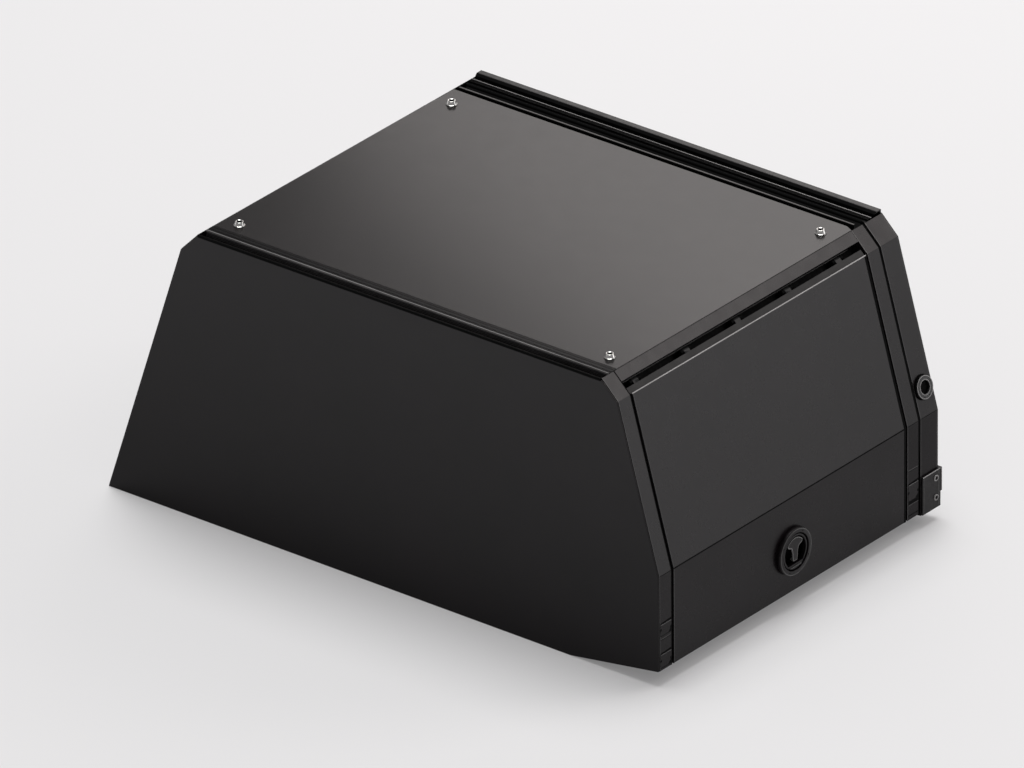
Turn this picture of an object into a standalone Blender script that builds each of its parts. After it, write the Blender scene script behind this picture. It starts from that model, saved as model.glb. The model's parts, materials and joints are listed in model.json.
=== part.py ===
"""Pickup truck canopy: a folded sheet-metal box that stands on a truck's bed rails.

It has a plain front wall, a creased lift-up side door with a round latch, a deep lift-up
rear hatch on a rolled hinge, and a flat bolted roof plate.
Metres, +Z up, +Y from the front wall to the rear hatch, +X to the side with the creased door.
The origin is at the middle of the footprint, at the height of the front wall's lower edge.
"""

from math import atan2, cos, degrees, hypot, pi, radians, sin

import bmesh
import bpy
from mathutils import Matrix, Vector

# Footprint and height
BASE_WIDTH = 1.640
LENGTH = 1.0575
ROOF_TOP = 0.749
RIGHT_X = 0.814
FRONT_Y = -0.535

# Right side: vertical foot, slanted upper part and a bevelled shoulder
RIGHT_FOOT_Z = 0.040
CREASE_Z = 0.286
RIGHT_SHOULDER_RUN = 0.117
RIGHT_SHOULDER_DROP = 0.047
RIGHT_ROOF_RUN = 0.165
KINK_RUN = 0.260

# Left side: one straight batter and the same bevelled shoulder
LEFT_SHOULDER_RUN = 0.2324
LEFT_SHOULDER_DROP = 0.0535
LEFT_ROOF_RUN = 0.2845

# Sheet and section thicknesses
WALL = 0.004
SHEET = 0.003
SEAT_GAP = 0.0003
EDGE_ROUND = 0.0012

# Pillars and rails of the frame
FRONT_PILLAR_END = 0.050
REAR_PILLAR_WIDTH = 0.0435
PILLAR_DEPTH = 0.040
SILL_HEIGHT = 0.040
SILL_INSET = 0.028
BAND_WIDTH = 0.0304
RECESS_DEPTH = 0.027
FLANGE_LENGTH = 0.035
STOP_INSET = 0.0298
HEADER_HEIGHT = 0.040

# Front wall and the rail over it
FRONT_WALL_DROP = 0.005
FRONT_WALL_INSET = 0.0008
CAP_DEPTH = 0.0245
CAP_NOSE = 0.0290
CAP_WIDTH = 0.0310
CAP_RISE = 0.0010
CAP_RIB = 0.0012
CAP_RIB_PITCH = 0.0040
CAP_RIB_COUNT = 3
CAP_END = 0.006

# Roof plate and its bolts
ROOF_LAP = 0.0125
ROOF_DEPTH = 0.018
ROOF_CORNER_RUN = 0.020
ROOF_CORNER_SETBACK = 0.010
BOLT_RADIUS = 0.0135
BOLT_HEIGHT = 0.0115
BOLT_TOP_RADIUS = 0.0097
BOLT_SOCKET = 0.0049
BOLT_SOCKET_FLOOR = 0.0063
BOLT_RIM = 0.0010
BOLT_SKIRT = 0.0021
BOLT_SIDE_INSET = 0.048
BOLT_FRONT_INSET = 0.0355
BOLT_REAR_INSET = 0.067

# Side doors
DOOR_GAP = 0.0055
DOOR_DEPTH = 0.022
DOOR_AXIS_RUN = 0.041
DOOR_AXIS_DEPTH = 0.011
LEAF = 0.0025
LEAF_CLEARANCE = 0.0080
LEAF_DEPTH = 0.0062
LEAF_LEG = 0.0200
KNUCKLE_RADIUS = 0.006
KNUCKLE_LENGTH = 0.038
KNUCKLE_EAR = 0.009
KNUCKLE_COUNT = 5
KNUCKLE_FRONT_INSET = 0.0395
KNUCKLE_REAR_INSET = 0.0800
DOOR_PIN_RADIUS = 0.0025
RUNNING_GAP = 0.0004
SEAL_WIDTH = 0.012
SEAL_INSET = 0.0225
STOP_WIDTH = 0.026

# Round latch with its folding handle
LATCH_SETBACK = 0.00675
LATCH_RISE = 0.107
BEZEL_RADIUS = 0.060
BEZEL_PROUD = 0.012
BEZEL_CROWN = 0.052
BEZEL_FLAT = 0.005
BEZEL_RIM = 0.003
BEZEL_LIP = 0.006
SHELF_PROUD = 0.004
DISH_RADIUS = 0.046
DISH_WALL = 0.0025
DISH_DEPTH = 0.0195
DISH_CHORD = 0.029
LATCH_HOLE_GAP = 0.001
HANDLE_BAR_WIDTH = 0.056
HANDLE_BAR_HEIGHT = 0.015
HANDLE_BAR_CORNER = 0.005
HANDLE_TOP = 0.029
HANDLE_THICK = 0.009
HANDLE_PIVOT_DROP = 0.0205
HANDLE_PIVOT_OUT = 0.002
HANDLE_BARREL = 0.0045
HANDLE_STEM_TOP = 0.028
HANDLE_STEM_FOOT = 0.015
HANDLE_STEM_FLARE = 0.003
LUG_WIDTH = 0.004
HANDLE_PIN_RADIUS = 0.002

# Rear hatch and its rolled hinge
HATCH_DEPTH = 0.067
HATCH_GAP = 0.0065
HATCH_FLOOR_GAP = 0.006
HATCH_FOOT_DROP = 0.008
HINGE_SETBACK = 0.0095
HINGE_DROP = 0.006
BEAD_RADIUS = 0.0035
SOCKET_INNER = 0.0040
SOCKET_OUTER = 0.0060
NECK = 0.0025
SOCKET_OPEN_FROM = -25.0
SOCKET_OPEN_TO = 110.0
ARC_STEP = 15.0
RAIL_LEFT_END = 0.006
RAIL_RIGHT_END = 0.012
RAIL_GAP = 0.011
RAIL_FLOOR_WIDTH = 0.020
RAIL_LIP_WIDTH = 0.006
RAIL_LIP_RISE = 0.0015
RAIL_LIP_CHAMFER = 0.0015
ARM_TOP = 195.0
ARM_BOTTOM = 235.0
LEDGE_START = 0.009
LEDGE_END = 0.022
LEDGE_BEAD = 0.0035
LEDGE_BEAD_RISE = 0.001
STRIP_WIDTH = 0.023
STRIP_RISE = 0.008
STRIP_DROP = 0.019
STRIP_BEVEL = 0.0055
STRIP_LEFT_END = 0.001
STRIP_RIGHT_END = 0.003
TOP_RETURN_GAP = 0.009

# Lock rings and corner brackets of the hatch
LOCK_RISE = 0.0625
LOCK_RADIUS = 0.031
LOCK_BORE = 0.016
LOCK_PROUD = 0.011
LOCK_CROWN = 0.025
LOCK_RIM = 0.0055
LOCK_CHAMFER = 0.002
BRACKET_GAP = 0.0025
BRACKET_HEIGHT = 0.100
BRACKET_FOOT_RISE = 0.0015
BRACKET_PLATE = 0.004
BRACKET_WRAP = 0.0122
BRACKET_STEP = 0.036
BRACKET_SCREW_INSET = 0.0135
BRACKET_SCREW_RISE = (0.028, 0.079)
SCREW_RADIUS = 0.0075
SCREW_HEAD = 0.0025
SCREW_SOCKET = 0.0034

# Keeper blocks let into the pillars: lower end and upper end of each, above the side's foot
FRONT_KEEPERS = ((0.008, 0.042), (0.091, 0.120))
REAR_KEEPERS = ((0.050, 0.092),)
KEEPER_MARGIN = 0.007
KEEPER_GAP = 0.0015
KEEPER_PROUD = 0.0015
KEEPER_FLANGE = 0.0025
KEEPER_LAP = 0.0035

# Derived lines of the cross-section
LEFT_X = RIGHT_X - BASE_WIDTH
RIGHT_EDGE = RIGHT_X - RIGHT_ROOF_RUN
LEFT_EDGE = LEFT_X + LEFT_ROOF_RUN
KINK_X = RIGHT_X - KINK_RUN
REAR_Y = FRONT_Y + LENGTH
OVERRUN = ROOF_TOP

# Derived heights above the front wall's lower edge
RIGHT_SHOULDER_Z = ROOF_TOP - RIGHT_SHOULDER_DROP
LEFT_SHOULDER_Z = ROOF_TOP - LEFT_SHOULDER_DROP
HEADER_TOP = ROOF_TOP - ROOF_DEPTH - SEAT_GAP
FRONT_WALL_TOP = ROOF_TOP - FRONT_WALL_DROP
CAP_FOOT_Z = ROOF_TOP - CAP_DEPTH
CAP_TOP = ROOF_TOP + CAP_RISE
HINGE_Z = ROOF_TOP - HINGE_DROP
STRIP_TOP = ROOF_TOP + STRIP_RISE
STRIP_BOTTOM = ROOF_TOP - STRIP_DROP
HATCH_FOOT_Z = RIGHT_FOOT_Z - HATCH_FOOT_DROP
BRACKET_FOOT = HATCH_FOOT_Z + BRACKET_FOOT_RISE
LATCH_Z = RIGHT_FOOT_Z + LATCH_RISE
LOCK_Z = CREASE_Z + LOCK_RISE

# Derived distances back from the front wall's face
HATCH_START = LENGTH - HATCH_DEPTH
REAR_PILLAR_END = HATCH_START - HATCH_GAP
REAR_PILLAR_START = REAR_PILLAR_END - REAR_PILLAR_WIDTH
DOOR_START = FRONT_PILLAR_END + DOOR_GAP
DOOR_END = REAR_PILLAR_START - DOOR_GAP
CAP_BACK = CAP_NOSE + CAP_WIDTH
ROOF_BACK = REAR_PILLAR_START + ROOF_LAP
BOLT_FRONT = CAP_BACK + BOLT_FRONT_INSET
BOLT_REAR = ROOF_BACK - BOLT_REAR_INSET
RAIL_LIP_Y = ROOF_BACK + RAIL_GAP
RAIL_FLOOR_END = RAIL_LIP_Y + RAIL_FLOOR_WIDTH
HINGE_Y = HATCH_START + HINGE_SETBACK
TOP_RETURN_START = HINGE_Y + TOP_RETURN_GAP
STRIP_START = LENGTH - STRIP_WIDTH
KNUCKLE_FIRST = DOOR_START + KNUCKLE_FRONT_INSET
KNUCKLE_PITCH = (DOOR_END - KNUCKLE_REAR_INSET - KNUCKLE_FIRST) / (KNUCKLE_COUNT - 1)
LATCH_Y = (DOOR_START + DOOR_END) / 2 + LATCH_SETBACK
LOCK_Y = HATCH_START + HATCH_DEPTH / 2
BRACKET_START = HATCH_START + BRACKET_GAP
BRACKET_SCREW_Y = LENGTH - BRACKET_SCREW_INSET

# Colours
SATIN_BLACK = (0.030, 0.029, 0.030)
DEEP_BLACK = (0.012, 0.012, 0.013)
HARDWARE = (0.045, 0.045, 0.048)
BRIGHT_STEEL = (0.72, 0.72, 0.74)
RUBBER = (0.010, 0.010, 0.010)


def along(distance):
    """World Y of a distance measured back from the front wall's face."""
    return FRONT_Y + distance


# Plane geometry

def intersect(p, d, q, e):
    """Crossing of the lines p + t d and q + s e."""
    cross = d[0] * e[1] - d[1] * e[0]
    t = ((q[0] - p[0]) * e[1] - (q[1] - p[1]) * e[0]) / cross
    return (p[0] + t * d[0], p[1] + t * d[1])


def direction(a, b):
    """Unit vector from a to b."""
    length = hypot(b[0] - a[0], b[1] - a[1])
    return ((b[0] - a[0]) / length, (b[1] - a[1]) / length)


def offset_path(points, distance):
    """The open path moved to its left by a distance, with mitred corners."""
    moved = []
    for a, b in zip(points, points[1:]):
        d = direction(a, b)
        shift = (-d[1] * distance, d[0] * distance)
        moved.append(((a[0] + shift[0], a[1] + shift[1]), (b[0] + shift[0], b[1] + shift[1]), d))
    result = [moved[0][0]]
    for first, second in zip(moved, moved[1:]):
        result.append(intersect(first[0], first[2], second[0], second[2]))
    result.append(moved[-1][1])
    return result


def band(path, near, far):
    """Closed outline between two offsets of one path."""
    return offset_path(path, near) + offset_path(path, far)[::-1]


def clip(points, axis, limit, sign):
    """The part of a closed outline where sign * (coordinate - limit) is positive."""
    kept = []
    for i, b in enumerate(points):
        a = points[i - 1]
        da = sign * (a[axis] - limit)
        db = sign * (b[axis] - limit)
        if (da < 0.0) != (db < 0.0):
            t = da / (da - db)
            kept.append((a[0] + t * (b[0] - a[0]), a[1] + t * (b[1] - a[1])))
        if db >= 0.0:
            kept.append(b)
    return kept


def arc(centre, radius, start, end):
    """Points on a circle from a start angle to an end angle, in degrees."""
    steps = max(2, round(abs(end - start) / ARC_STEP))
    angles = [radians(start + (end - start) * i / steps) for i in range(steps + 1)]
    return [(centre[0] + radius * cos(a), centre[1] + radius * sin(a)) for a in angles]


class Side:
    """One long side: its outer line from the foot to the roof edge, and its inward sense."""

    def __init__(self, name, inward, path, edge_x, foot_z):
        self.name = name
        self.inward = inward
        self.path = path
        self.edge_x = edge_x
        self.foot_z = foot_z
        self.shoulder = path[-2]
        self.roof_edge = path[-1]

    def line(self, inset):
        """The side's line moved inward, with both its ends run on past the part."""
        first = direction(self.path[1], self.path[0])
        last = direction(self.path[-2], self.path[-1])
        foot = (self.path[0][0] + first[0] * OVERRUN, self.path[0][1] + first[1] * OVERRUN)
        head = (self.path[-1][0] + last[0] * OVERRUN, self.path[-1][1] + last[1] * OVERRUN)
        return offset_path([foot] + self.path[1:-1] + [head], inset * self.inward)

    def strip(self, near, far, low, high=ROOF_TOP, edge_gap=SEAT_GAP):
        """Outline between two insets, cut at a lower and an upper level and at the roof."""
        outline = self.line(near) + self.line(far)[::-1]
        outline = clip(outline, 1, low, 1)
        outline = clip(outline, 1, high, -1)
        return clip(outline, 0, self.edge_x + self.inward * edge_gap, self.inward)

    def x_at(self, z, inset):
        """Where the side's line, moved inward, crosses a level."""
        line = self.line(inset)
        for low, high in zip(line, line[1:]):
            if low[1] <= z <= high[1]:
                return low[0] + (high[0] - low[0]) * (z - low[1]) / (high[1] - low[1])
        return line[-1][0]

    def wall(self, near, far):
        """Outline of the side below its shoulder, cut square to its own slope at the top."""
        return band(self.path[:-1], near * self.inward, far * self.inward)

    def chamfer(self, run, depth):
        """Point at a run down the shoulder from the roof edge and a depth inside it."""
        d = direction(self.roof_edge, self.shoulder)
        n = (d[1] * self.inward, -d[0] * self.inward)
        return (self.roof_edge[0] + d[0] * run + n[0] * depth,
                self.roof_edge[1] + d[1] * run + n[1] * depth)

    def slope_frame(self, z, y, proud=0.0):
        """Frame on the lower wall at a height: X outward, Z up the slope."""
        low, high = self.path[0], self.path[1]
        if z > self.path[1][1]:
            low, high = self.path[1], self.path[2]
        d = direction(low, high)
        x = low[0] + (high[0] - low[0]) * (z - low[1]) / (high[1] - low[1])
        out = Vector((d[1] * self.inward, 0.0, -d[0] * self.inward))
        up = Vector((d[0], 0.0, d[1]))
        matrix = Matrix.Identity(4)
        matrix.col[0][:3] = out
        matrix.col[1][:3] = up.cross(out)
        matrix.col[2][:3] = up
        matrix.col[3][:3] = Vector((x, y, z)) + out * proud
        return matrix


RIGHT = Side("right", 1, [
    (RIGHT_X, RIGHT_FOOT_Z),
    (RIGHT_X, CREASE_Z),
    (RIGHT_X - RIGHT_SHOULDER_RUN, RIGHT_SHOULDER_Z),
    (RIGHT_EDGE, ROOF_TOP),
], RIGHT_EDGE, RIGHT_FOOT_Z)

LEFT = Side("left", -1, [
    (LEFT_X, 0.0),
    (LEFT_X + LEFT_SHOULDER_RUN, LEFT_SHOULDER_Z),
    (LEFT_EDGE, ROOF_TOP),
], LEFT_EDGE, 0.0)


# Scene set-up

for old in list(bpy.data.objects):
    bpy.data.objects.remove(old, do_unlink=True)

PARTS = bpy.data.collections.new("pickup_truck_canopy")
CUTTERS = bpy.data.collections.new("cutters")
bpy.context.scene.collection.children.link(PARTS)
bpy.context.scene.collection.children.link(CUTTERS)


def material(name, colour, roughness, metallic=0.0):
    """A plain principled material."""
    made = bpy.data.materials.new(name)
    made.use_nodes = True
    shader = made.node_tree.nodes["Principled BSDF"]
    shader.inputs["Base Color"].default_value = (*colour, 1.0)
    shader.inputs["Roughness"].default_value = roughness
    shader.inputs["Metallic"].default_value = metallic
    return made


FINISHES = {
    "panel": (SATIN_BLACK, 0.42, 0.0),
    "frame": (DEEP_BLACK, 0.50, 0.0),
    "hardware": (HARDWARE, 0.35, 0.6),
    "steel": (BRIGHT_STEEL, 0.15, 1.0),
    "rubber": (RUBBER, 0.85, 0.0),
}


def dress(obj, finish):
    """Give the piece a material of its own."""
    obj.data.materials.clear()
    obj.data.materials.append(material(obj.name + "_finish", *FINISHES[finish]))
    return obj


def mesh_object(name, bm, collection=PARTS):
    """Turn a bmesh into an object with outward faces."""
    bmesh.ops.recalc_face_normals(bm, faces=bm.faces)
    mesh = bpy.data.meshes.new(name)
    bm.to_mesh(mesh)
    bm.free()
    obj = bpy.data.objects.new(name, mesh)
    collection.objects.link(obj)
    return obj


PLANES = {
    "XY": (0.0, 0.0, 0.0),
    "XZ": (pi / 2, 0.0, 0.0),
    "YZ": (pi / 2, 0.0, pi / 2),
}


def plate(name, loops, start, end, plane, collection=PARTS):
    """A filled outline, with the later loops as its holes, thick from start to end."""
    curve = bpy.data.curves.new(name, "CURVE")
    curve.dimensions = "2D"
    curve.fill_mode = "BOTH"
    curve.extrude = (end - start) / 2
    for loop in loops:
        spline = curve.splines.new("POLY")
        spline.points.add(len(loop) - 1)
        spline.use_cyclic_u = True
        for point, (u, v) in zip(spline.points, loop):
            point.co = (u, v, 0.0, 1.0)
    guide = bpy.data.objects.new(name + "_outline", curve)
    bpy.context.scene.collection.objects.link(guide)
    bpy.context.view_layer.update()
    graph = bpy.context.evaluated_depsgraph_get()
    filled = bpy.data.meshes.new_from_object(guide.evaluated_get(graph))
    bm = bmesh.new()
    bm.from_mesh(filled)
    bmesh.ops.remove_doubles(bm, verts=bm.verts, dist=0.00001)
    bpy.data.objects.remove(guide, do_unlink=True)
    bpy.data.curves.remove(curve)
    bpy.data.meshes.remove(filled)
    obj = mesh_object(name, bm, collection)
    obj.rotation_euler = PLANES[plane]
    obj.location = [0.0 if axis in plane else (start + end) / 2 for axis in "XYZ"]
    return obj


def box(name, low, high, collection=PARTS):
    """A rectangular block between two corners."""
    bm = bmesh.new()
    bmesh.ops.create_cube(bm, size=1.0)
    size = Vector(high) - Vector(low)
    bmesh.ops.scale(bm, vec=size, verts=bm.verts)
    obj = mesh_object(name, bm, collection)
    obj.location = (Vector(high) + Vector(low)) / 2
    return obj


def rod(name, radius, length, collection=PARTS, segments=24):
    """A round bar along its own Z, centred on its origin."""
    bm = bmesh.new()
    bmesh.ops.create_cone(bm, cap_ends=True, segments=segments, radius1=radius, radius2=radius,
                          depth=length)
    return mesh_object(name, bm, collection)


def turned(name, profile, steps=48):
    """A profile of (radius, height) points, from axis to axis, turned round its own Z."""
    bm = bmesh.new()
    verts = [bm.verts.new((r, 0.0, h)) for r, h in profile]
    for a, b in zip(verts, verts[1:]):
        bm.edges.new((a, b))
    mesh = bpy.data.meshes.new(name)
    bm.to_mesh(mesh)
    bm.free()
    obj = bpy.data.objects.new(name, mesh)
    PARTS.objects.link(obj)
    screw = obj.modifiers.new("Turn", "SCREW")
    screw.axis = "Z"
    screw.angle = 2 * pi
    screw.steps = steps
    screw.render_steps = steps
    screw.use_merge_vertices = True
    screw.merge_threshold = 0.00001
    return obj


def solidify(obj, thickness):
    """Walls of a thickness inside an open surface."""
    shell = obj.modifiers.new("Sheet", "SOLIDIFY")
    shell.thickness = thickness
    shell.offset = -1.0
    shell.use_even_offset = True
    return obj


def open_faces(obj, gone):
    """Remove the faces for which gone(centre, outward direction) is true."""
    bm = bmesh.new()
    bm.from_mesh(obj.data)
    bm.transform(obj.matrix_basis)
    bm.normal_update()
    faces = [f for f in bm.faces if gone(f.calc_center_median(), f.normal)]
    bmesh.ops.delete(bm, geom=faces, context="FACES")
    bm.transform(obj.matrix_basis.inverted())
    bm.to_mesh(obj.data)
    bm.free()
    return obj


def open_inside(obj, side):
    """Remove a folded piece's inner faces, all but the one along the roof edge."""
    def gone(centre, normal):
        return -side.inward * normal.x > 0.5 and abs(centre.x - side.edge_x) > 2 * SEAT_GAP
    return open_faces(obj, gone)


def round_edges(obj, width=EDGE_ROUND, segments=2):
    """Small rounded edges on every sharp corner."""
    bevel = obj.modifiers.new("Round", "BEVEL")
    bevel.width = width
    bevel.segments = segments
    bevel.limit_method = "ANGLE"
    bevel.angle_limit = radians(25)
    bevel.harden_normals = False
    return obj


def boolean(obj, cutter, operation="DIFFERENCE"):
    """Cut or join a piece with another that is then only a guide."""
    cutter.hide_render = True
    cutter.display_type = "WIRE"
    joint = obj.modifiers.new(operation.title(), "BOOLEAN")
    joint.operation = operation
    joint.solver = "EXACT"
    joint.object = cutter
    return obj


def place(obj, matrix):
    """Set the piece down in a frame."""
    obj.matrix_world = matrix
    return obj


def seat_in_frame(obj, frame):
    """Carry a piece that was made round the origin into a frame."""
    own = Matrix.Translation(obj.location) @ obj.rotation_euler.to_matrix().to_4x4()
    obj.matrix_world = frame @ own
    return obj


def empty(name, location):
    """A joint's axis, as the parent of what turns on it."""
    obj = bpy.data.objects.new(name, None)
    obj.location = location
    PARTS.objects.link(obj)
    bpy.context.view_layer.update()
    return obj


def hang_on(parent, pieces):
    """Parent pieces to a joint's axis without moving them."""
    bpy.context.view_layer.update()
    for piece in pieces:
        piece.parent = parent
        piece.matrix_parent_inverse = parent.matrix_world.inverted()


TURN_TO_Y = Matrix.Rotation(-pi / 2, 4, "X")
TURN_TO_X = Matrix.Rotation(pi / 2, 4, "Y")


# Front wall, the rail over it and the beams behind it

def end_outline(foot_left, foot_right, floor, top, inset=0.0):
    """Outline of the canopy seen from the front, between a floor line and a top line."""
    right = [(RIGHT.x_at(foot_right, inset), foot_right)]
    right += [p for p in RIGHT.line(inset) if foot_right < p[1] < top]
    right += [(RIGHT.x_at(top, inset), top)]
    left = [(LEFT.x_at(foot_left, inset), foot_left)]
    left += [p for p in LEFT.line(inset) if foot_left < p[1] < top]
    left += [(LEFT.x_at(top, inset), top)]
    return [(KINK_X, floor)] + right + left[::-1]


def front_wall():
    """Flat front sheet, whose lower edge rises past a kink to the right side's foot."""
    outline = end_outline(0.0, RIGHT_FOOT_Z, 0.0, FRONT_WALL_TOP, FRONT_WALL_INSET)
    wall = plate("front_wall", [outline], along(0.0), along(WALL), "XZ")
    return dress(round_edges(wall), "panel")


def front_cap_rail():
    """Extruded rail behind the front wall's top edge: ribbed riser under a flat nose."""
    foot_start = along(WALL + SEAT_GAP)
    riser = along(CAP_NOSE + SHEET / 2)
    foot_top = CAP_FOOT_Z + SHEET
    rib_base = riser
    ribs = []
    for i in range(CAP_RIB_COUNT):
        z = foot_top + CAP_RIB_PITCH * (i + 1)
        ribs += [(rib_base, z - CAP_RIB), (rib_base - CAP_RIB, z - CAP_RIB / 2),
                 (rib_base - CAP_RIB, z + CAP_RIB / 2), (rib_base, z + CAP_RIB)]
    outline = [(foot_start, CAP_FOOT_Z), (foot_start, foot_top), (rib_base, foot_top)]
    outline += ribs
    outline += [
        (rib_base, CAP_TOP - SHEET),
        (along(CAP_NOSE), CAP_TOP - SHEET),
        (along(CAP_NOSE), CAP_TOP),
        (along(CAP_NOSE) + 3 * SHEET, CAP_TOP),
        (along(CAP_NOSE) + 3 * SHEET, CAP_TOP - SHEET / 3),
        (along(CAP_NOSE) + 4 * SHEET, CAP_TOP - SHEET / 3),
        (along(CAP_NOSE) + 4 * SHEET, ROOF_TOP),
        (along(CAP_BACK), ROOF_TOP),
        (along(CAP_BACK), CAP_FOOT_Z),
    ]
    hollow = [
        (riser + SHEET, foot_top),
        (riser + SHEET, ROOF_TOP - SHEET),
        (along(CAP_BACK) - SHEET, ROOF_TOP - SHEET),
        (along(CAP_BACK) - SHEET, foot_top),
    ]
    rail = plate("front_cap_rail", [outline, hollow], LEFT_EDGE + CAP_END, RIGHT_EDGE - CAP_END,
                 "YZ")
    return dress(rail, "panel")


def cross_beam(name, start, end, bottom, top):
    """Hollow rectangular beam across the canopy between the pillar heads of both sides."""
    outer = [(along(start), bottom), (along(end), bottom), (along(end), top), (along(start), top)]
    inner = [(along(start) + SHEET, bottom + SHEET), (along(end) - SHEET, bottom + SHEET),
             (along(end) - SHEET, top - SHEET), (along(start) + SHEET, top - SHEET)]
    beam = plate(name, [outer, inner], LEFT_EDGE, RIGHT_EDGE, "YZ")
    return dress(beam, "frame")


def cross_sill(name, start, end, open_sign):
    """Folded beam along the floor line, open towards the inside of the canopy."""
    outline = end_outline(0.0, RIGHT_FOOT_Z, 0.0, RIGHT_FOOT_Z + SILL_HEIGHT,
                          PILLAR_DEPTH + SEAT_GAP)
    sill = plate(name, [outline], along(start), along(end), "XZ")
    open_faces(sill, lambda centre, normal: open_sign * normal.y > 0.5)
    return dress(solidify(sill, SHEET), "frame")


# Roof

def roof_panel():
    """Flat roof plate with its edges folded down and its rear right corner cut off."""
    left = LEFT_EDGE + SEAT_GAP
    right = RIGHT_EDGE - SEAT_GAP
    front = along(CAP_BACK) + SEAT_GAP
    rear = along(ROOF_BACK)
    outline = [(left, front), (right, front), (right, rear - ROOF_CORNER_SETBACK),
               (right - ROOF_CORNER_RUN, rear), (left, rear)]
    panel = plate("roof_panel", [outline], ROOF_TOP - ROOF_DEPTH, ROOF_TOP, "XY")
    open_faces(panel, lambda centre, normal: normal.z < -0.5)
    solidify(panel, SHEET)
    return dress(round_edges(panel), "panel")


def roof_bolt(number, x, y):
    """Cap screw with a coned head and a round socket, standing on the roof."""
    profile = [
        (0.0, BOLT_SOCKET_FLOOR), (BOLT_SOCKET, BOLT_SOCKET_FLOOR), (BOLT_SOCKET, BOLT_HEIGHT),
        (BOLT_TOP_RADIUS - BOLT_RIM, BOLT_HEIGHT), (BOLT_TOP_RADIUS, BOLT_HEIGHT - BOLT_RIM),
        (BOLT_RADIUS, BOLT_SKIRT), (BOLT_RADIUS, 0.0), (0.0, 0.0),
    ]
    bolt = turned("roof_bolt_%d" % number, profile, 24)
    bolt.location = (x, y, ROOF_TOP + SEAT_GAP)
    return dress(bolt, "steel")


def roof_bolts():
    """One bolt near each corner of the roof plate."""
    number = 0
    for x in (LEFT_EDGE + BOLT_SIDE_INSET, RIGHT_EDGE - BOLT_SIDE_INSET):
        for distance in (BOLT_FRONT, BOLT_REAR):
            number += 1
            roof_bolt(number, x, along(distance))


# Sides

def pillar(side, where, start, end, keepers):
    """Folded pillar that follows the side's line, with windows for its keeper blocks."""
    outline = side.strip(0.0, PILLAR_DEPTH, side.foot_z)
    post = plate(side.name + "_" + where + "_pillar", [outline], along(start), along(end), "XZ")
    open_inside(post, side)
    solidify(post, SHEET)
    for i, (low, high) in enumerate(keepers):
        frame = side.slope_frame(side.foot_z + (low + high) / 2, along((start + end) / 2))
        window = box(post.name + "_window_%d" % (i + 1),
                     (-2 * SHEET, -(end - start) / 2 + KEEPER_MARGIN, (low - high) / 2),
                     (2 * SHEET, (end - start) / 2 - KEEPER_MARGIN, (high - low) / 2), CUTTERS)
        boolean(post, seat_in_frame(window, frame))
    return dress(post, "panel")


def keeper_block(side, where, number, start, end, low, high):
    """Block in one window of a pillar, carried by a flange behind the pillar's sheet."""
    half = (end - start) / 2 - KEEPER_MARGIN
    rise = (high - low) / 2
    back = -SHEET - SEAT_GAP
    flange = box("%s_%s_keeper_%d" % (side.name, where, number),
                 (back - KEEPER_FLANGE, -half - KEEPER_LAP, -rise - KEEPER_LAP),
                 (back, half + KEEPER_LAP, rise + KEEPER_LAP))
    half -= KEEPER_GAP
    rise -= KEEPER_GAP
    outline = [(-half, -rise), (half - rise / 2, -rise), (half, -rise / 2), (half, rise),
               (-half, rise)]
    block = plate(flange.name + "_face", [outline], back - KEEPER_FLANGE / 2, KEEPER_PROUD,
                  "YZ", CUTTERS)
    frame = side.slope_frame(side.foot_z + (low + high) / 2, along((start + end) / 2))
    seat_in_frame(flange, frame)
    boolean(flange, seat_in_frame(block, frame), "UNION")
    return dress(flange, "hardware")


def header_rail(side):
    """Folded rail along the roof edge: shoulder band, hinge recess and door stop flange."""
    d = direction(side.roof_edge, side.shoulder)
    stop = side.line(STOP_INSET)
    slope = direction(stop[-3], stop[-2])
    leg_x = side.edge_x + side.inward * (SEAT_GAP + SHEET / 2)
    corner = intersect(side.chamfer(0.0, SHEET / 2), d, (leg_x, 0.0), (0.0, 1.0))
    turn = intersect(side.chamfer(0.0, RECESS_DEPTH), d, stop[-2], slope)
    foot = (turn[0] - slope[0] * FLANGE_LENGTH, turn[1] - slope[1] * FLANGE_LENGTH)
    path = [
        (leg_x, HEADER_TOP + SEAT_GAP),
        corner,
        side.chamfer(BAND_WIDTH - SHEET / 2, SHEET / 2),
        side.chamfer(BAND_WIDTH - SHEET / 2, RECESS_DEPTH),
        turn,
        foot,
    ]
    rail = plate(side.name + "_header_rail", [band(path, -SHEET / 2, SHEET / 2)],
                 along(FRONT_PILLAR_END) + SEAT_GAP, along(REAR_PILLAR_START) - SEAT_GAP, "XZ")
    return dress(rail, "panel")


def side_sill(side):
    """Hollow rail along the foot of a side, inside the door."""
    low = side.foot_z
    outline = side.strip(SILL_INSET, SILL_INSET + SILL_HEIGHT, low, low + SILL_HEIGHT)
    sill = plate(side.name + "_sill", [outline], along(FRONT_PILLAR_END) + SEAT_GAP,
                 along(REAR_PILLAR_START) - SEAT_GAP, "XZ")
    open_faces(sill, lambda centre, normal: abs(normal.y) > 0.5)
    return dress(solidify(sill, SHEET), "frame")


def opening_ring(name, side, near, far, width, finish):
    """A ring round the door opening that follows the side's line."""
    low = side.foot_z + SILL_HEIGHT + SEAT_GAP
    high = side.shoulder[1] - 2 * FLANGE_LENGTH
    start = along(FRONT_PILLAR_END) + SEAT_GAP
    end = along(REAR_PILLAR_START) - SEAT_GAP
    ring = plate(name, [side.strip(near, far, low, high)], start, end, "XZ")
    middle = side.strip(near - SHEET, far + SHEET, low + width, high - width)
    cutter = plate(name + "_cut", [middle], start + width, end - width, "XZ", CUTTERS)
    return dress(boolean(ring, cutter), finish)


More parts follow.
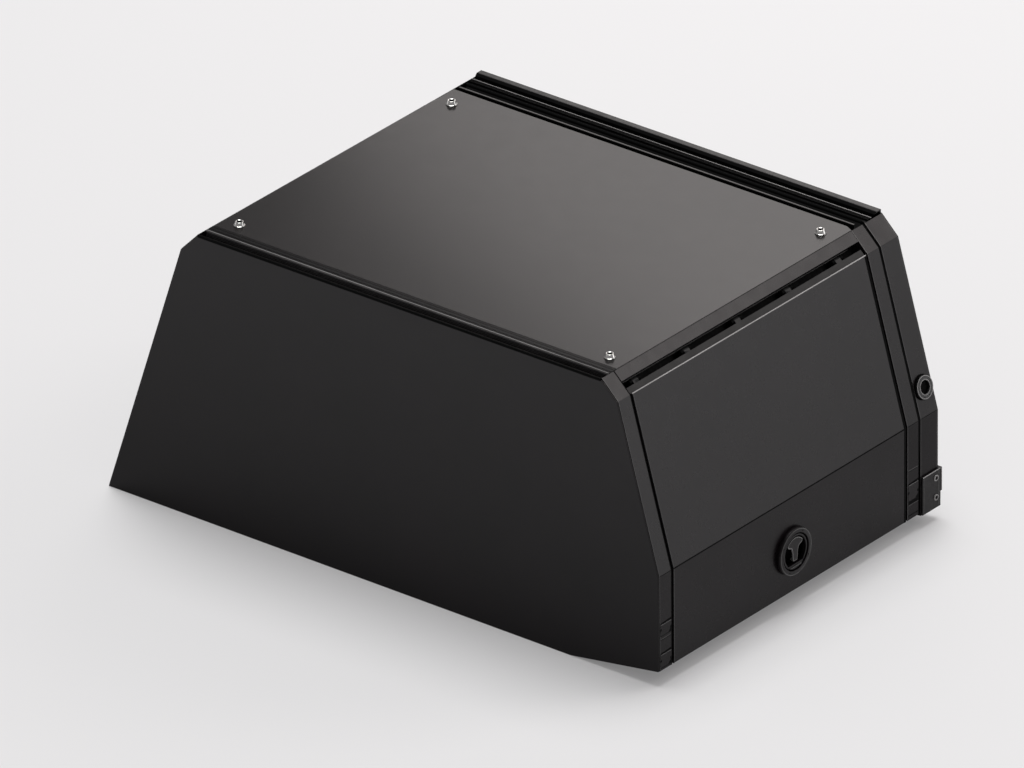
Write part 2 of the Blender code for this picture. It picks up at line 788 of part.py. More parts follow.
def hinge_point(side, down, out):
    """Point beside the door's axis: down the shoulder and out from it."""
    return side.chamfer(DOOR_AXIS_RUN + down, DOOR_AXIS_DEPTH - out)


def hinge_ears(side):
    """Fixed leaf of the door hinge, seated on the recess's back wall, with ears and pins."""
    back = DOOR_AXIS_DEPTH - RECESS_DEPTH + SHEET / 2 + SEAT_GAP
    wide = KNUCKLE_RADIUS + LEAF
    strip = [hinge_point(side, -wide, back), hinge_point(side, wide, back),
             hinge_point(side, wide, back + LEAF), hinge_point(side, -wide, back + LEAF)]
    ears = plate(side.name + "_hinge_ears", [strip], along(FRONT_PILLAR_END) + SEAT_GAP,
                 along(REAR_PILLAR_START) - SEAT_GAP, "XZ")
    outline = [hinge_point(side, KNUCKLE_RADIUS, back + LEAF / 2)]
    outline += [hinge_point(side, u, v) for u, v in arc((0.0, 0.0), KNUCKLE_RADIUS, 0.0, 180.0)]
    outline += [hinge_point(side, -KNUCKLE_RADIUS, back + LEAF / 2)]
    axis = hinge_point(side, 0.0, 0.0)
    for i in range(KNUCKLE_COUNT):
        middle = along(KNUCKLE_FIRST + KNUCKLE_PITCH * i)
        near = middle - KNUCKLE_LENGTH / 2
        far = middle + KNUCKLE_LENGTH / 2
        for mark, low, high in (("a", near, near + KNUCKLE_EAR), ("b", far - KNUCKLE_EAR, far)):
            name = "%s_ear_%d%s" % (side.name, i + 1, mark)
            boolean(ears, plate(name, [outline], low, high, "XZ", CUTTERS), "UNION")
        pin = rod("%s_pin_%d" % (side.name, i + 1), DOOR_PIN_RADIUS,
                  KNUCKLE_LENGTH - KNUCKLE_EAR, CUTTERS, 12)
        place(pin, Matrix.Translation((axis[0], middle, axis[1])) @ TURN_TO_Y)
        boolean(ears, pin, "UNION")
    return dress(ears, "hardware")


def door_leaf(side):
    """Rolled flange along the door's top edge, with the door's half of the five hinges."""
    d = direction(side.roof_edge, side.shoulder)
    run = hypot(side.shoulder[0] - side.roof_edge[0], side.shoulder[1] - side.roof_edge[1])
    slope = direction(side.path[-3], side.path[-2])
    inward = (-slope[1] * side.inward, slope[0] * side.inward)
    lift = LEAF / 2 + SEAT_GAP
    corner = side.chamfer(run, 0.0)

    def on_return(t):
        return (corner[0] + inward[0] * t + slope[0] * lift,
                corner[1] + inward[1] * t + slope[1] * lift)

    axis = side.chamfer(DOOR_AXIS_RUN, DOOR_AXIS_DEPTH)
    free = side.chamfer(DOOR_AXIS_RUN + LEAF_CLEARANCE, LEAF_DEPTH)
    bend = intersect(free, d, on_return(0.0), inward)
    path = [free, bend, on_return(LEAF_LEG)]
    leaf = plate(side.name + "_door_leaf", [band(path, -LEAF / 2, LEAF / 2)],
                 along(DOOR_START), along(DOOR_END), "XZ")

    reach = side.chamfer(DOOR_AXIS_RUN + LEAF_CLEARANCE + LEAF, LEAF_DEPTH)
    barrel = KNUCKLE_LENGTH - 2 * KNUCKLE_EAR - 2 * RUNNING_GAP
    outward = (-d[1] * side.inward, d[0] * side.inward)
    neck = [
        (axis[0], axis[1]),
        (axis[0] + outward[0] * KNUCKLE_RADIUS, axis[1] + outward[1] * KNUCKLE_RADIUS),
        (reach[0] + outward[0] * LEAF / 2, reach[1] + outward[1] * LEAF / 2),
        (reach[0] - outward[0] * LEAF / 2, reach[1] - outward[1] * LEAF / 2),
        (axis[0] + d[0] * KNUCKLE_RADIUS, axis[1] + d[1] * KNUCKLE_RADIUS),
    ]
    for i in range(KNUCKLE_COUNT):
        y = along(KNUCKLE_FIRST + KNUCKLE_PITCH * i)
        arm = plate(side.name + "_arm_%d" % (i + 1), [neck], y - barrel / 2, y + barrel / 2,
                    "XZ", CUTTERS)
        boolean(leaf, arm, "UNION")
        tube = rod(side.name + "_barrel_%d" % (i + 1), KNUCKLE_RADIUS, barrel, CUTTERS, 16)
        place(tube, Matrix.Translation((axis[0], y, axis[1])) @ TURN_TO_Y)
        boolean(leaf, tube, "UNION")
    bore = rod(side.name + "_pin_bore", DOOR_PIN_RADIUS + RUNNING_GAP, LENGTH, CUTTERS, 12)
    place(bore, Matrix.Translation((axis[0], along(LENGTH / 2), axis[1])) @ TURN_TO_Y)
    boolean(leaf, bore)
    return dress(leaf, "hardware")


def door_panel(side):
    """Creased door skin with its four edges folded in, and a round hole for the latch."""
    outline = side.wall(0.0, DOOR_DEPTH)
    outline = clip(outline, 1, side.foot_z, 1)
    panel = plate(side.name + "_door_panel", [outline], along(DOOR_START), along(DOOR_END), "XZ")
    open_inside(panel, side)
    solidify(panel, SHEET)
    round_edges(panel)
    hole = rod(side.name + "_latch_hole", DISH_RADIUS + DISH_WALL + LATCH_HOLE_GAP, 4 * SHEET,
               CUTTERS, 48)
    frame = side.slope_frame(LATCH_Z, along(LATCH_Y))
    boolean(panel, place(hole, frame @ TURN_TO_X))
    return dress(panel, "panel")


# Round latch: its own frame has X outward from the door, Z up the door

def latch_dish(side):
    """Bezel and dish in one, with a filled segment below the handle and two pivot lugs."""
    outer = DISH_RADIUS + DISH_WALL
    profile = [
        (0.0, DISH_WALL - DISH_DEPTH), (DISH_RADIUS, DISH_WALL - DISH_DEPTH),
        (DISH_RADIUS, BEZEL_LIP), (BEZEL_CROWN, BEZEL_PROUD),
        (BEZEL_CROWN + BEZEL_FLAT, BEZEL_PROUD), (BEZEL_RADIUS, BEZEL_RIM),
        (BEZEL_RADIUS, SEAT_GAP), (outer, SEAT_GAP), (outer, -DISH_DEPTH), (0.0, -DISH_DEPTH),
    ]
    dish = turned(side.name + "_latch_dish", profile)
    frame = side.slope_frame(LATCH_Z, along(LATCH_Y))
    place(dish, frame @ TURN_TO_X)
    floor = -DISH_DEPTH + DISH_WALL / 2
    half = (DISH_RADIUS ** 2 - DISH_CHORD ** 2) ** 0.5
    low = atan2(-DISH_CHORD, half)
    wall = DISH_RADIUS + DISH_WALL / 2
    segment = [(wall * cos(a), wall * sin(a)) for a in
               [low + (-pi - 2 * low) * i / 16 for i in range(17)]]
    shelf = plate(side.name + "_latch_shelf", [segment], floor, SHELF_PROUD, "YZ", CUTTERS)
    boolean(dish, seat_in_frame(shelf, frame), "UNION")
    reach = HANDLE_STEM_FOOT / 2 + RUNNING_GAP
    for sign in (-1, 1):
        near = sign * reach
        far = sign * (reach + LUG_WIDTH)
        lug = box(side.name + "_lug_%s" % ("a" if sign < 0 else "b"),
                  (floor, min(near, far), -HANDLE_PIVOT_DROP - 2 * HANDLE_BARREL),
                  (HANDLE_PIVOT_OUT + HANDLE_BARREL, max(near, far),
                   -HANDLE_PIVOT_DROP + HANDLE_BARREL), CUTTERS)
        boolean(dish, seat_in_frame(lug, frame), "UNION")
    pin = rod(side.name + "_handle_pin", HANDLE_PIN_RADIUS, 2 * reach + LUG_WIDTH, CUTTERS, 12)
    seat = Matrix.Translation((HANDLE_PIVOT_OUT, 0.0, -HANDLE_PIVOT_DROP))
    boolean(dish, place(pin, frame @ seat @ TURN_TO_Y), "UNION")
    return dress(dish, "hardware")


def latch_handle(side):
    """T-shaped pull that folds out on a pin at the foot of its stem."""
    half_bar = HANDLE_BAR_WIDTH / 2
    corner = HANDLE_BAR_CORNER
    bar_low = HANDLE_TOP - HANDLE_BAR_HEIGHT
    pivot = -HANDLE_PIVOT_DROP
    half = [(HANDLE_STEM_FOOT / 2, pivot + HANDLE_BARREL / 5),
            (HANDLE_STEM_FOOT / 2, pivot + 1.5 * HANDLE_BARREL),
            (HANDLE_STEM_TOP / 2, bar_low - HANDLE_STEM_FLARE),
            (HANDLE_STEM_TOP / 2 + HANDLE_STEM_FLARE, bar_low - HANDLE_STEM_FLARE / 4)]
    half += arc((half_bar - corner, bar_low + corner), corner, -90.0, 0.0)
    half += arc((half_bar - corner, HANDLE_TOP - corner), corner, 0.0, 90.0)
    outline = half + [(-y, z) for y, z in half[::-1]]
    back = HANDLE_PIVOT_OUT - HANDLE_THICK + HANDLE_BARREL / 2
    handle = plate(side.name + "_latch_handle", [outline], back, back + HANDLE_THICK, "YZ")
    frame = side.slope_frame(LATCH_Z, along(LATCH_Y))
    round_edges(handle)
    seat_in_frame(handle, frame)
    seat = frame @ Matrix.Translation((HANDLE_PIVOT_OUT, 0.0, pivot)) @ TURN_TO_Y
    barrel = rod(side.name + "_handle_barrel", HANDLE_BARREL, HANDLE_STEM_FOOT - 2 * SEAT_GAP,
                 CUTTERS, 20)
    boolean(handle, place(barrel, seat), "UNION")
    bore = rod(side.name + "_handle_bore", HANDLE_PIN_RADIUS + RUNNING_GAP, BEZEL_RADIUS,
               CUTTERS, 12)
    boolean(handle, place(bore, seat))
    return dress(handle, "hardware")


# Rear hatch

def rear_roof_rail():
    """Fixed half of the rolled hinge: a lip, a deep groove and a socket on an arm."""
    centre = (along(HINGE_Y), HINGE_Z)
    foot = HEADER_TOP + SEAT_GAP
    floor = foot + SHEET
    crest = ROOF_TOP + RAIL_LIP_RISE
    lip = along(RAIL_LIP_Y)
    back = lip + RAIL_LIP_WIDTH
    bend = along(RAIL_FLOOR_END)
    outline = [(lip, foot), (lip, crest - RAIL_LIP_CHAMFER), (lip + RAIL_LIP_CHAMFER, crest),
               (back - RAIL_LIP_CHAMFER, crest), (back, crest - RAIL_LIP_CHAMFER),
               (back, crest - SHEET), (lip + SHEET, crest - SHEET), (lip + SHEET, floor),
               (bend, floor)]
    outline += arc(centre, SOCKET_OUTER, ARM_TOP, SOCKET_OPEN_TO)
    outline += arc(centre, SOCKET_INNER, SOCKET_OPEN_TO, 360.0 + SOCKET_OPEN_FROM)
    outline += arc(centre, SOCKET_OUTER, 360.0 + SOCKET_OPEN_FROM, ARM_BOTTOM)
    outline += [(bend + SHEET / 2, foot)]
    rail = plate("rear_roof_rail", [outline], LEFT_EDGE + RAIL_LEFT_END,
                 RIGHT_EDGE - RAIL_RIGHT_END, "YZ")
    return dress(rail, "panel")


def hatch_hinge_rail():
    """Moving half of the rolled hinge: bead, neck, raised ledge and a hollow rear strip."""
    centre = (along(HINGE_Y), HINGE_Z)
    half = NECK / 2
    neck_angle = degrees(atan2(half, BEAD_RADIUS))
    ledge = along(HINGE_Y + LEDGE_START)
    edge = along(HINGE_Y + LEDGE_END)
    bead = ROOF_TOP + LEDGE_BEAD_RISE
    strip = along(STRIP_START)
    rear = REAR_Y - SHEET - SEAT_GAP
    outline = arc(centre, BEAD_RADIUS, neck_angle, 360.0 - neck_angle)
    outline += [
        (strip, HINGE_Z - half), (strip + 2 * SHEET, HINGE_Z - half),
        (rear - SHEET, STRIP_BOTTOM), (rear, STRIP_BOTTOM), (rear, ROOF_TOP + SEAT_GAP),
        (REAR_Y, ROOF_TOP + SEAT_GAP), (REAR_Y, STRIP_TOP - SHEET / 2),
        (REAR_Y - SHEET / 2, STRIP_TOP), (strip + STRIP_BEVEL, STRIP_TOP),
        (strip, STRIP_TOP - STRIP_BEVEL), (strip, HINGE_Z + half),
        (edge, HINGE_Z + half), (edge, bead - LEDGE_BEAD_RISE), (edge - LEDGE_BEAD_RISE, bead),
        (edge - LEDGE_BEAD, bead), (edge - LEDGE_BEAD - LEDGE_BEAD_RISE, ROOF_TOP),
        (ledge, ROOF_TOP), (ledge, HINGE_Z + half),
    ]
    inner = strip + STRIP_BEVEL
    hollow = [(inner, HINGE_Z + half), (rear - SHEET, HINGE_Z + half),
              (rear - SHEET, STRIP_TOP - SHEET), (inner, STRIP_TOP - SHEET)]
    rail = plate("hatch_hinge_rail", [outline, hollow], LEFT_EDGE + STRIP_LEFT_END,
                 RIGHT_EDGE - STRIP_RIGHT_END, "YZ")
    return dress(rail, "panel")


def hatch_panel():
    """Flat rear sheet of the hatch."""
    outline = end_outline(HATCH_FLOOR_GAP, HATCH_FOOT_Z, HATCH_FLOOR_GAP, ROOF_TOP)
    panel = plate("hatch_panel", [outline], REAR_Y - SHEET, REAR_Y, "XZ")
    return dress(round_edges(panel, SHEET / 4), "panel")


def hatch_return(side, foot):
    """Side wall of the hatch, which continues the line of the side in front of it."""
    outline = side.strip(0.0, SHEET, foot)
    wall = plate(side.name + "_hatch_return", [outline], along(HATCH_START),
                 REAR_Y - SHEET - SEAT_GAP, "XZ")
    return dress(wall, "panel")


def hatch_bottom_return():
    """Lower wall of the hatch, following the kinked floor line."""
    inset = SHEET + SEAT_GAP
    path = [(LEFT.x_at(HATCH_FLOOR_GAP + SHEET, inset), HATCH_FLOOR_GAP),
            (KINK_X, HATCH_FLOOR_GAP), (RIGHT.x_at(HATCH_FOOT_Z, inset), HATCH_FOOT_Z)]
    wall = plate("hatch_bottom_return", [band(path, 0.0, SHEET)], along(HATCH_START),
                 REAR_Y - SHEET - SEAT_GAP, "XZ")
    return dress(wall, "panel")


def hatch_top_return():
    """Upper wall of the hatch, under the ledge of its hinge rail."""
    top = HINGE_Z - NECK / 2 - SEAT_GAP
    return dress(box("hatch_top_return",
                     (LEFT_EDGE + SHEET, along(TOP_RETURN_START), top - SHEET),
                     (RIGHT_EDGE - SHEET, along(STRIP_START), top)), "frame")


def lock_ring(side):
    """Round lock ring on the slanted part of the hatch's side wall."""
    frame = side.slope_frame(LOCK_Z, along(LOCK_Y), SEAT_GAP)
    profile = [
        (0.0, SHEET), (LOCK_BORE, SHEET), (LOCK_BORE, LOCK_PROUD - LOCK_CHAMFER),
        (LOCK_BORE + LOCK_CHAMFER, LOCK_PROUD), (LOCK_CROWN, LOCK_PROUD),
        (LOCK_RADIUS, LOCK_RIM), (LOCK_RADIUS, 0.0), (0.0, 0.0),
    ]
    ring = turned(side.name + "_lock_ring", profile, 40)
    return dress(place(ring, frame @ TURN_TO_X), "hardware")


def corner_bracket(side):
    """Bracket at the foot of the hatch that wraps round its rear corner."""
    rear = side.inward
    frame = side.slope_frame(BRACKET_FOOT, along(0.0))
    end = LENGTH + SEAT_GAP
    wrap = end + BRACKET_PLATE
    outer = SEAT_GAP + BRACKET_PLATE
    angle = [(SEAT_GAP, BRACKET_START), (outer, BRACKET_START), (outer, wrap),
             (-BRACKET_STEP, wrap), (-BRACKET_STEP, end), (SEAT_GAP, end)]
    face = plate(side.name + "_corner_bracket", [[(x, rear * y) for x, y in angle]],
                 0.0, BRACKET_HEIGHT, "XY")
    seat_in_frame(face, frame)
    low, high = sorted((rear * (end + BRACKET_PLATE / 2), rear * (end + BRACKET_WRAP)))
    boss = box(side.name + "_bracket_boss", (-BRACKET_STEP / 2, low, BRACKET_STEP),
               (SEAT_GAP + BRACKET_PLATE / 2, high, BRACKET_HEIGHT - SHEET), CUTTERS)
    boolean(face, seat_in_frame(boss, frame), "UNION")
    for i, up in enumerate(BRACKET_SCREW_RISE):
        screw = rod("%s_bracket_screw_%d" % (side.name, i + 1), SCREW_RADIUS, 2 * SCREW_HEAD,
                    CUTTERS, 20)
        seat = Matrix.Translation((BRACKET_PLATE, rear * BRACKET_SCREW_Y, up))
        boolean(face, place(screw, frame @ seat @ TURN_TO_X), "UNION")
        socket = rod("%s_screw_socket_%d" % (side.name, i + 1), SCREW_SOCKET,
                     2 * SCREW_HEAD, CUTTERS, 6)
        seat = Matrix.Translation((BRACKET_PLATE + SCREW_HEAD, rear * BRACKET_SCREW_Y, up))
        boolean(face, place(socket, frame @ seat @ TURN_TO_X))
    return dress(face, "hardware")


def build():
    """Make every piece, and hang what moves on its joint's axis."""
    front_wall()
    front_cap_rail()
    cross_beam("front_header", WALL + SEAT_GAP, FRONT_PILLAR_END,
               CAP_FOOT_Z - SEAT_GAP - HEADER_HEIGHT, CAP_FOOT_Z - SEAT_GAP)
    cross_beam("rear_header", REAR_PILLAR_START, REAR_PILLAR_END,
               HEADER_TOP - HEADER_HEIGHT, HEADER_TOP)
    cross_sill("front_sill", WALL + SEAT_GAP, FRONT_PILLAR_END, 1)
    cross_sill("rear_sill", REAR_PILLAR_START, REAR_PILLAR_END, -1)
    roof_panel()
    roof_bolts()
    rear_roof_rail()

    moving = {}
    for side in (RIGHT, LEFT):
        front = (WALL + SEAT_GAP, FRONT_PILLAR_END)
        rear = (REAR_PILLAR_START, REAR_PILLAR_END)
        for where, (start, end), keepers in (("front", front, FRONT_KEEPERS),
                                             ("rear", rear, REAR_KEEPERS)):
            levels = keepers if side is RIGHT else ()
            pillar(side, where, start, end, levels)
            for i, (low, high) in enumerate(levels):
                keeper_block(side, where, i + 1, start, end, low, high)
        header_rail(side)
        side_sill(side)
        opening_ring(side.name + "_door_stop", side, STOP_INSET - SHEET / 2,
                     STOP_INSET + SHEET / 2, STOP_WIDTH, "frame")
        opening_ring(side.name + "_door_seal", side, SEAL_INSET,
                     STOP_INSET - SHEET / 2 - SEAT_GAP, SEAL_WIDTH, "rubber")
        hinge_ears(side)
        moving[side.name] = [door_panel(side), door_leaf(side), latch_dish(side)]
        moving[side.name + "_handle"] = [latch_handle(side)]

    hatch = [hatch_panel(), hatch_return(RIGHT, HATCH_FOOT_Z), hatch_return(LEFT, HATCH_FLOOR_GAP),
             hatch_bottom_return(), hatch_top_return(), hatch_hinge_rail()]
    for side in (RIGHT, LEFT):
        hatch += [lock_ring(side), corner_bracket(side)]

    door_axis = RIGHT.chamfer(DOOR_AXIS_RUN, DOOR_AXIS_DEPTH)
    door = empty("side_door_axis", (door_axis[0], along(LENGTH / 2), door_axis[1]))
    hang_on(door, moving["right"])
    pivot = RIGHT.slope_frame(LATCH_Z, along(LATCH_Y)) @ Vector(
        (HANDLE_PIVOT_OUT, 0.0, -HANDLE_PIVOT_DROP))
    handle = empty("door_handle_axis", pivot)
    hang_on(handle, moving["right_handle"])
    hang_on(door, [handle])
    hinge = empty("rear_hatch_axis", (0.0, along(HINGE_Y), HINGE_Z))
    hang_on(hinge, hatch)


build()
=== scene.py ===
"""Scene of the pickup truck canopy: its finishes, its dressed pieces, the studio and the camera.

Metres, +Z up, +Y from the front wall to the rear hatch, +X to the side with the creased door.
"""

import json
import logging
from abc import ABC, abstractmethod
from dataclasses import dataclass
from enum import Enum
from math import asin, cos, degrees, hypot, pi, radians, sin

import bmesh
import bpy
from mathutils import Matrix, Quaternion, Vector


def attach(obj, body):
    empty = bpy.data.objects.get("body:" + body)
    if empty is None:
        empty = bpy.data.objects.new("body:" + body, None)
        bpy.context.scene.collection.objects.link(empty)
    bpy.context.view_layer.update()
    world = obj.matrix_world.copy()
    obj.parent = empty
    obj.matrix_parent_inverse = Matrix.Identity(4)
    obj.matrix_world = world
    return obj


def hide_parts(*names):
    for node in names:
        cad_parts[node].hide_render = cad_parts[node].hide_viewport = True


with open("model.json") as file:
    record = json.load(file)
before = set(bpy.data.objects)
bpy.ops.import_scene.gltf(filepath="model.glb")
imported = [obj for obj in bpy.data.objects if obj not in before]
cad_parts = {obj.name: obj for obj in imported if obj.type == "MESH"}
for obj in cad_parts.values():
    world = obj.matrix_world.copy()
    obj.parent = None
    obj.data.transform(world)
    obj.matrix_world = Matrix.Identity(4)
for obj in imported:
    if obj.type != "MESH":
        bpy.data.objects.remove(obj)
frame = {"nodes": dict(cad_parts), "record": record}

LOG = logging.getLogger("canopy")

Point = tuple[float, float]
Outline = list[Point]
Place = tuple[float, float, float]
Colour = tuple[float, float, float]
Mesh = bmesh.types.BMesh
Piece = bpy.types.Object
Socket = bpy.types.NodeSocket
Finish = bpy.types.Material


class Slot(Enum):
    """The record's material slots."""

    PANEL = "panel"
    FRAME = "frame"
    HARDWARE = "hardware"
    STEEL = "steel"
    RUBBER = "rubber"


# Finishes


def shade(colour: Colour, factor: float) -> Colour:
    """Make a colour darker or lighter by a factor."""
    return tuple(part * factor for part in colour)


class NodeBench:
    """A material's node tree, with short ways to add and join its nodes."""

    def __init__(self, name: str) -> None:
        """Start a material with an empty principled surface.

        Args:
            name: the material's name.
        """
        self.made = bpy.data.materials.new(name)
        self.made.use_nodes = True
        self.tree = self.made.node_tree
        self.shader = self.tree.nodes["Principled BSDF"]
        self.place = self.add("ShaderNodeTexCoord").outputs["Object"]

    def add(self, kind: str, **settings: object) -> bpy.types.Node:
        """Add a node and set its properties.

        Args:
            kind: the node's type name.
            settings: the properties to set on it.

        Returns:
            The new node.
        """
        node = self.tree.nodes.new(kind)
        for key, value in settings.items():
            setattr(node, key, value)
        return node

    def join(self, start: Socket, end: Socket) -> None:
        """Link one socket to another."""
        self.tree.links.new(start, end)

    def fix(self, key: str, value: float | tuple[float, ...]) -> None:
        """Give one of the surface's inputs a plain value."""
        self.shader.inputs[key].default_value = value

    def noise(self, scale: float, detail: float = 2.0,
              stretch: Place = (1.0, 1.0, 1.0)) -> Socket:
        """Add a noise texture in the object's own place.

        Args:
            scale: how many features it has in a metre.
            detail: how many finer layers it has.
            stretch: its scale along each axis.

        Returns:
            The socket with its value from 0 to 1.
        """
        mapping = self.add("ShaderNodeMapping")
        mapping.inputs["Scale"].default_value = stretch
        self.join(self.place, mapping.inputs["Vector"])
        node = self.add("ShaderNodeTexNoise")
        node.inputs["Scale"].default_value = scale
        node.inputs["Detail"].default_value = detail
        self.join(mapping.outputs["Vector"], node.inputs["Vector"])
        return node.outputs["Fac"]

    def height(self) -> Socket:
        """Give the socket with the height over the canopy's foot."""
        split = self.add("ShaderNodeSeparateXYZ")
        self.join(self.place, split.inputs["Vector"])
        return split.outputs["Z"]

    def cells(self, scale: float) -> Socket:
        """Add a cell texture with so many cells in a metre and give its distance socket."""
        node = self.add("ShaderNodeTexVoronoi")
        node.inputs["Scale"].default_value = scale
        self.join(self.place, node.inputs["Vector"])
        return node.outputs["Distance"]

    def spread(self, value: Socket, low: float, high: float, start: float = 0.3,
               end: float = 0.7) -> Socket:
        """Map a texture's middle range onto another range.

        Args:
            value: the texture's socket.
            low: what the range's start becomes.
            high: what the range's end becomes.
            start: the start of the range.
            end: the end of the range.

        Returns:
            The socket with the new value.
        """
        node = self.add("ShaderNodeMapRange")
        for key, number in (("From Min", start), ("From Max", end), ("To Min", low),
                            ("To Max", high)):
            node.inputs[key].default_value = number
        self.join(value, node.inputs["Value"])
        return node.outputs["Result"]

    def paint(self, value: Socket, first: Colour, second: Colour) -> None:
        """Colour the surface with two colours that a texture mixes.

        Args:
            value: the texture's socket.
            first: the colour where it is dark.
            second: the colour where it is light.
        """
        ramp = self.add("ShaderNodeValToRGB")
        stops = zip(ramp.color_ramp.elements, (0.30, 0.70), (first, second))
        for stop, place, colour in stops:
            stop.position = place
            stop.color = (*colour, 1.0)
        self.join(value, ramp.inputs["Fac"])
        self.join(ramp.outputs["Color"], self.shader.inputs["Base Color"])

    def roughen(self, value: Socket, low: float, high: float) -> None:
        """Let a texture move the surface's roughness between two values."""
        self.join(self.spread(value, low, high), self.shader.inputs["Roughness"])

    def bump(self, *layers: tuple[Socket, float, float]) -> None:
        """Stack bump layers on the surface.

        Args:
            layers: each layer's socket, strength and depth in metres.
        """
        below = None
        for value, strength, depth in layers:
            node = self.add("ShaderNodeBump")
            node.inputs["Strength"].default_value = strength
            node.inputs["Distance"].default_value = depth
            self.join(value, node.inputs["Height"])
            if below is not None:
                self.join(below, node.inputs["Normal"])
            below = node.outputs["Normal"]
        self.join(below, self.shader.inputs["Normal"])


@dataclass(frozen=True)
class PowderCoat:
    """Satin black powder coat: fine orange peel, slow changes of gloss and a thin film of dust;
    where a foot gloss is given, painted shade darkens the lower part.
    """

    name: str
    colour: Colour
    roughness: float
    swing: float
    specular: float
    foot_shade_specular: float | None = None
    foot_height: Point = (0.283, 0.288)
    tint: float = 0.25
    peel_scale: float = 900.0
    peel_depth: float = 0.00004
    peel_strength: float = 0.25

    def material(self) -> Finish:
        """Build the finish's node material."""
        bench = NodeBench(self.name)
        bench.paint(bench.noise(5.0, 4.0), shade(self.colour, 1.0 - self.tint),
                    shade(self.colour, 1.0 + self.tint))
        bench.roughen(bench.noise(23.0, 5.0), self.roughness - self.swing,
                      self.roughness + self.swing)
        bench.fix("Specular IOR Level", self.specular)
        # Painted shade: below the foot height the specular level drops, so the lower part reads
        # darker, standing in for less light falling there.
        if self.foot_shade_specular is not None:
            gloss = bench.spread(bench.height(), self.foot_shade_specular, self.specular,
                                 *self.foot_height)
            bench.join(gloss, bench.shader.inputs["Specular IOR Level"])
        peel = bench.noise(self.peel_scale, 3.0)
        wave = bench.noise(self.peel_scale / 12.0)
        bench.bump((wave, self.peel_strength / 10.0, self.peel_depth),
                   (peel, self.peel_strength, self.peel_depth))
        return bench.made


@dataclass(frozen=True)
class BrushedCoat:
    """Coat with fine wear lines across the strip it covers; the palette lightens it as painted
    light.
    """

    name: str
    colour: Colour
    roughness: float = 0.30
    specular: float = 0.24
    lines: float = 420.0

    def material(self) -> Finish:
        """Build the finish's node material."""
        bench = NodeBench(self.name)
        scratch = bench.noise(self.lines, 2.0, (1.0, 0.02, 0.02))
        bench.paint(scratch, shade(self.colour, 0.55), shade(self.colour, 1.35))
        bench.roughen(bench.noise(35.0, 4.0), self.roughness - 0.04, self.roughness + 0.06)
        bench.fix("Specular IOR Level", self.specular)
        bench.bump((scratch, 0.10, 0.00004))
        return bench.made


@dataclass(frozen=True)
class MouldedBlack:
    """Glass-filled moulded black: fine spark texture and slightly polished high spots."""

    name: str
    colour: Colour
    roughness: float
    specular: float
    grain_scale: float = 1600.0

    def material(self) -> Finish:
        """Build the finish's node material."""
        bench = NodeBench(self.name)
        bench.paint(bench.noise(60.0, 4.0), shade(self.colour, 0.7), shade(self.colour, 1.4))
        bench.roughen(bench.noise(140.0, 4.0), self.roughness - 0.07, self.roughness + 0.09)
        bench.fix("Specular IOR Level", self.specular)
        bench.bump((bench.cells(self.grain_scale), 0.18, 0.00004),
                   (bench.noise(420.0, 3.0), 0.12, 0.00005))
        return bench.made


@dataclass(frozen=True)
class PolishedSteel:
    """Polished steel with turning marks and faint handling smears."""

    name: str
    colour: Colour
    roughness: float = 0.10

    def material(self) -> Finish:
        """Build the finish's node material."""
        bench = NodeBench(self.name)
        bench.fix("Metallic", 1.0)
        bench.paint(bench.noise(90.0, 3.0), shade(self.colour, 0.88), self.colour)
        bench.roughen(bench.noise(260.0, 5.0), self.roughness - 0.04, self.roughness + 0.10)
        bench.bump((bench.noise(700.0, 2.0, (1.0, 1.0, 6.0)), 0.10, 0.00003))
        return bench.made


@dataclass(frozen=True)
class DoorRubber:
    """Matt seal rubber with a fine skin and chalky patches."""

    name: str
    colour: Colour

    def material(self) -> Finish:
        """Build the finish's node material."""
        bench = NodeBench(self.name)
        bench.paint(bench.noise(45.0, 5.0), self.colour, shade(self.colour, 2.2))
        bench.roughen(bench.noise(80.0, 4.0), 0.68, 0.92)
        bench.bump((bench.noise(1300.0, 3.0), 0.35, 0.00008))
        return bench.made


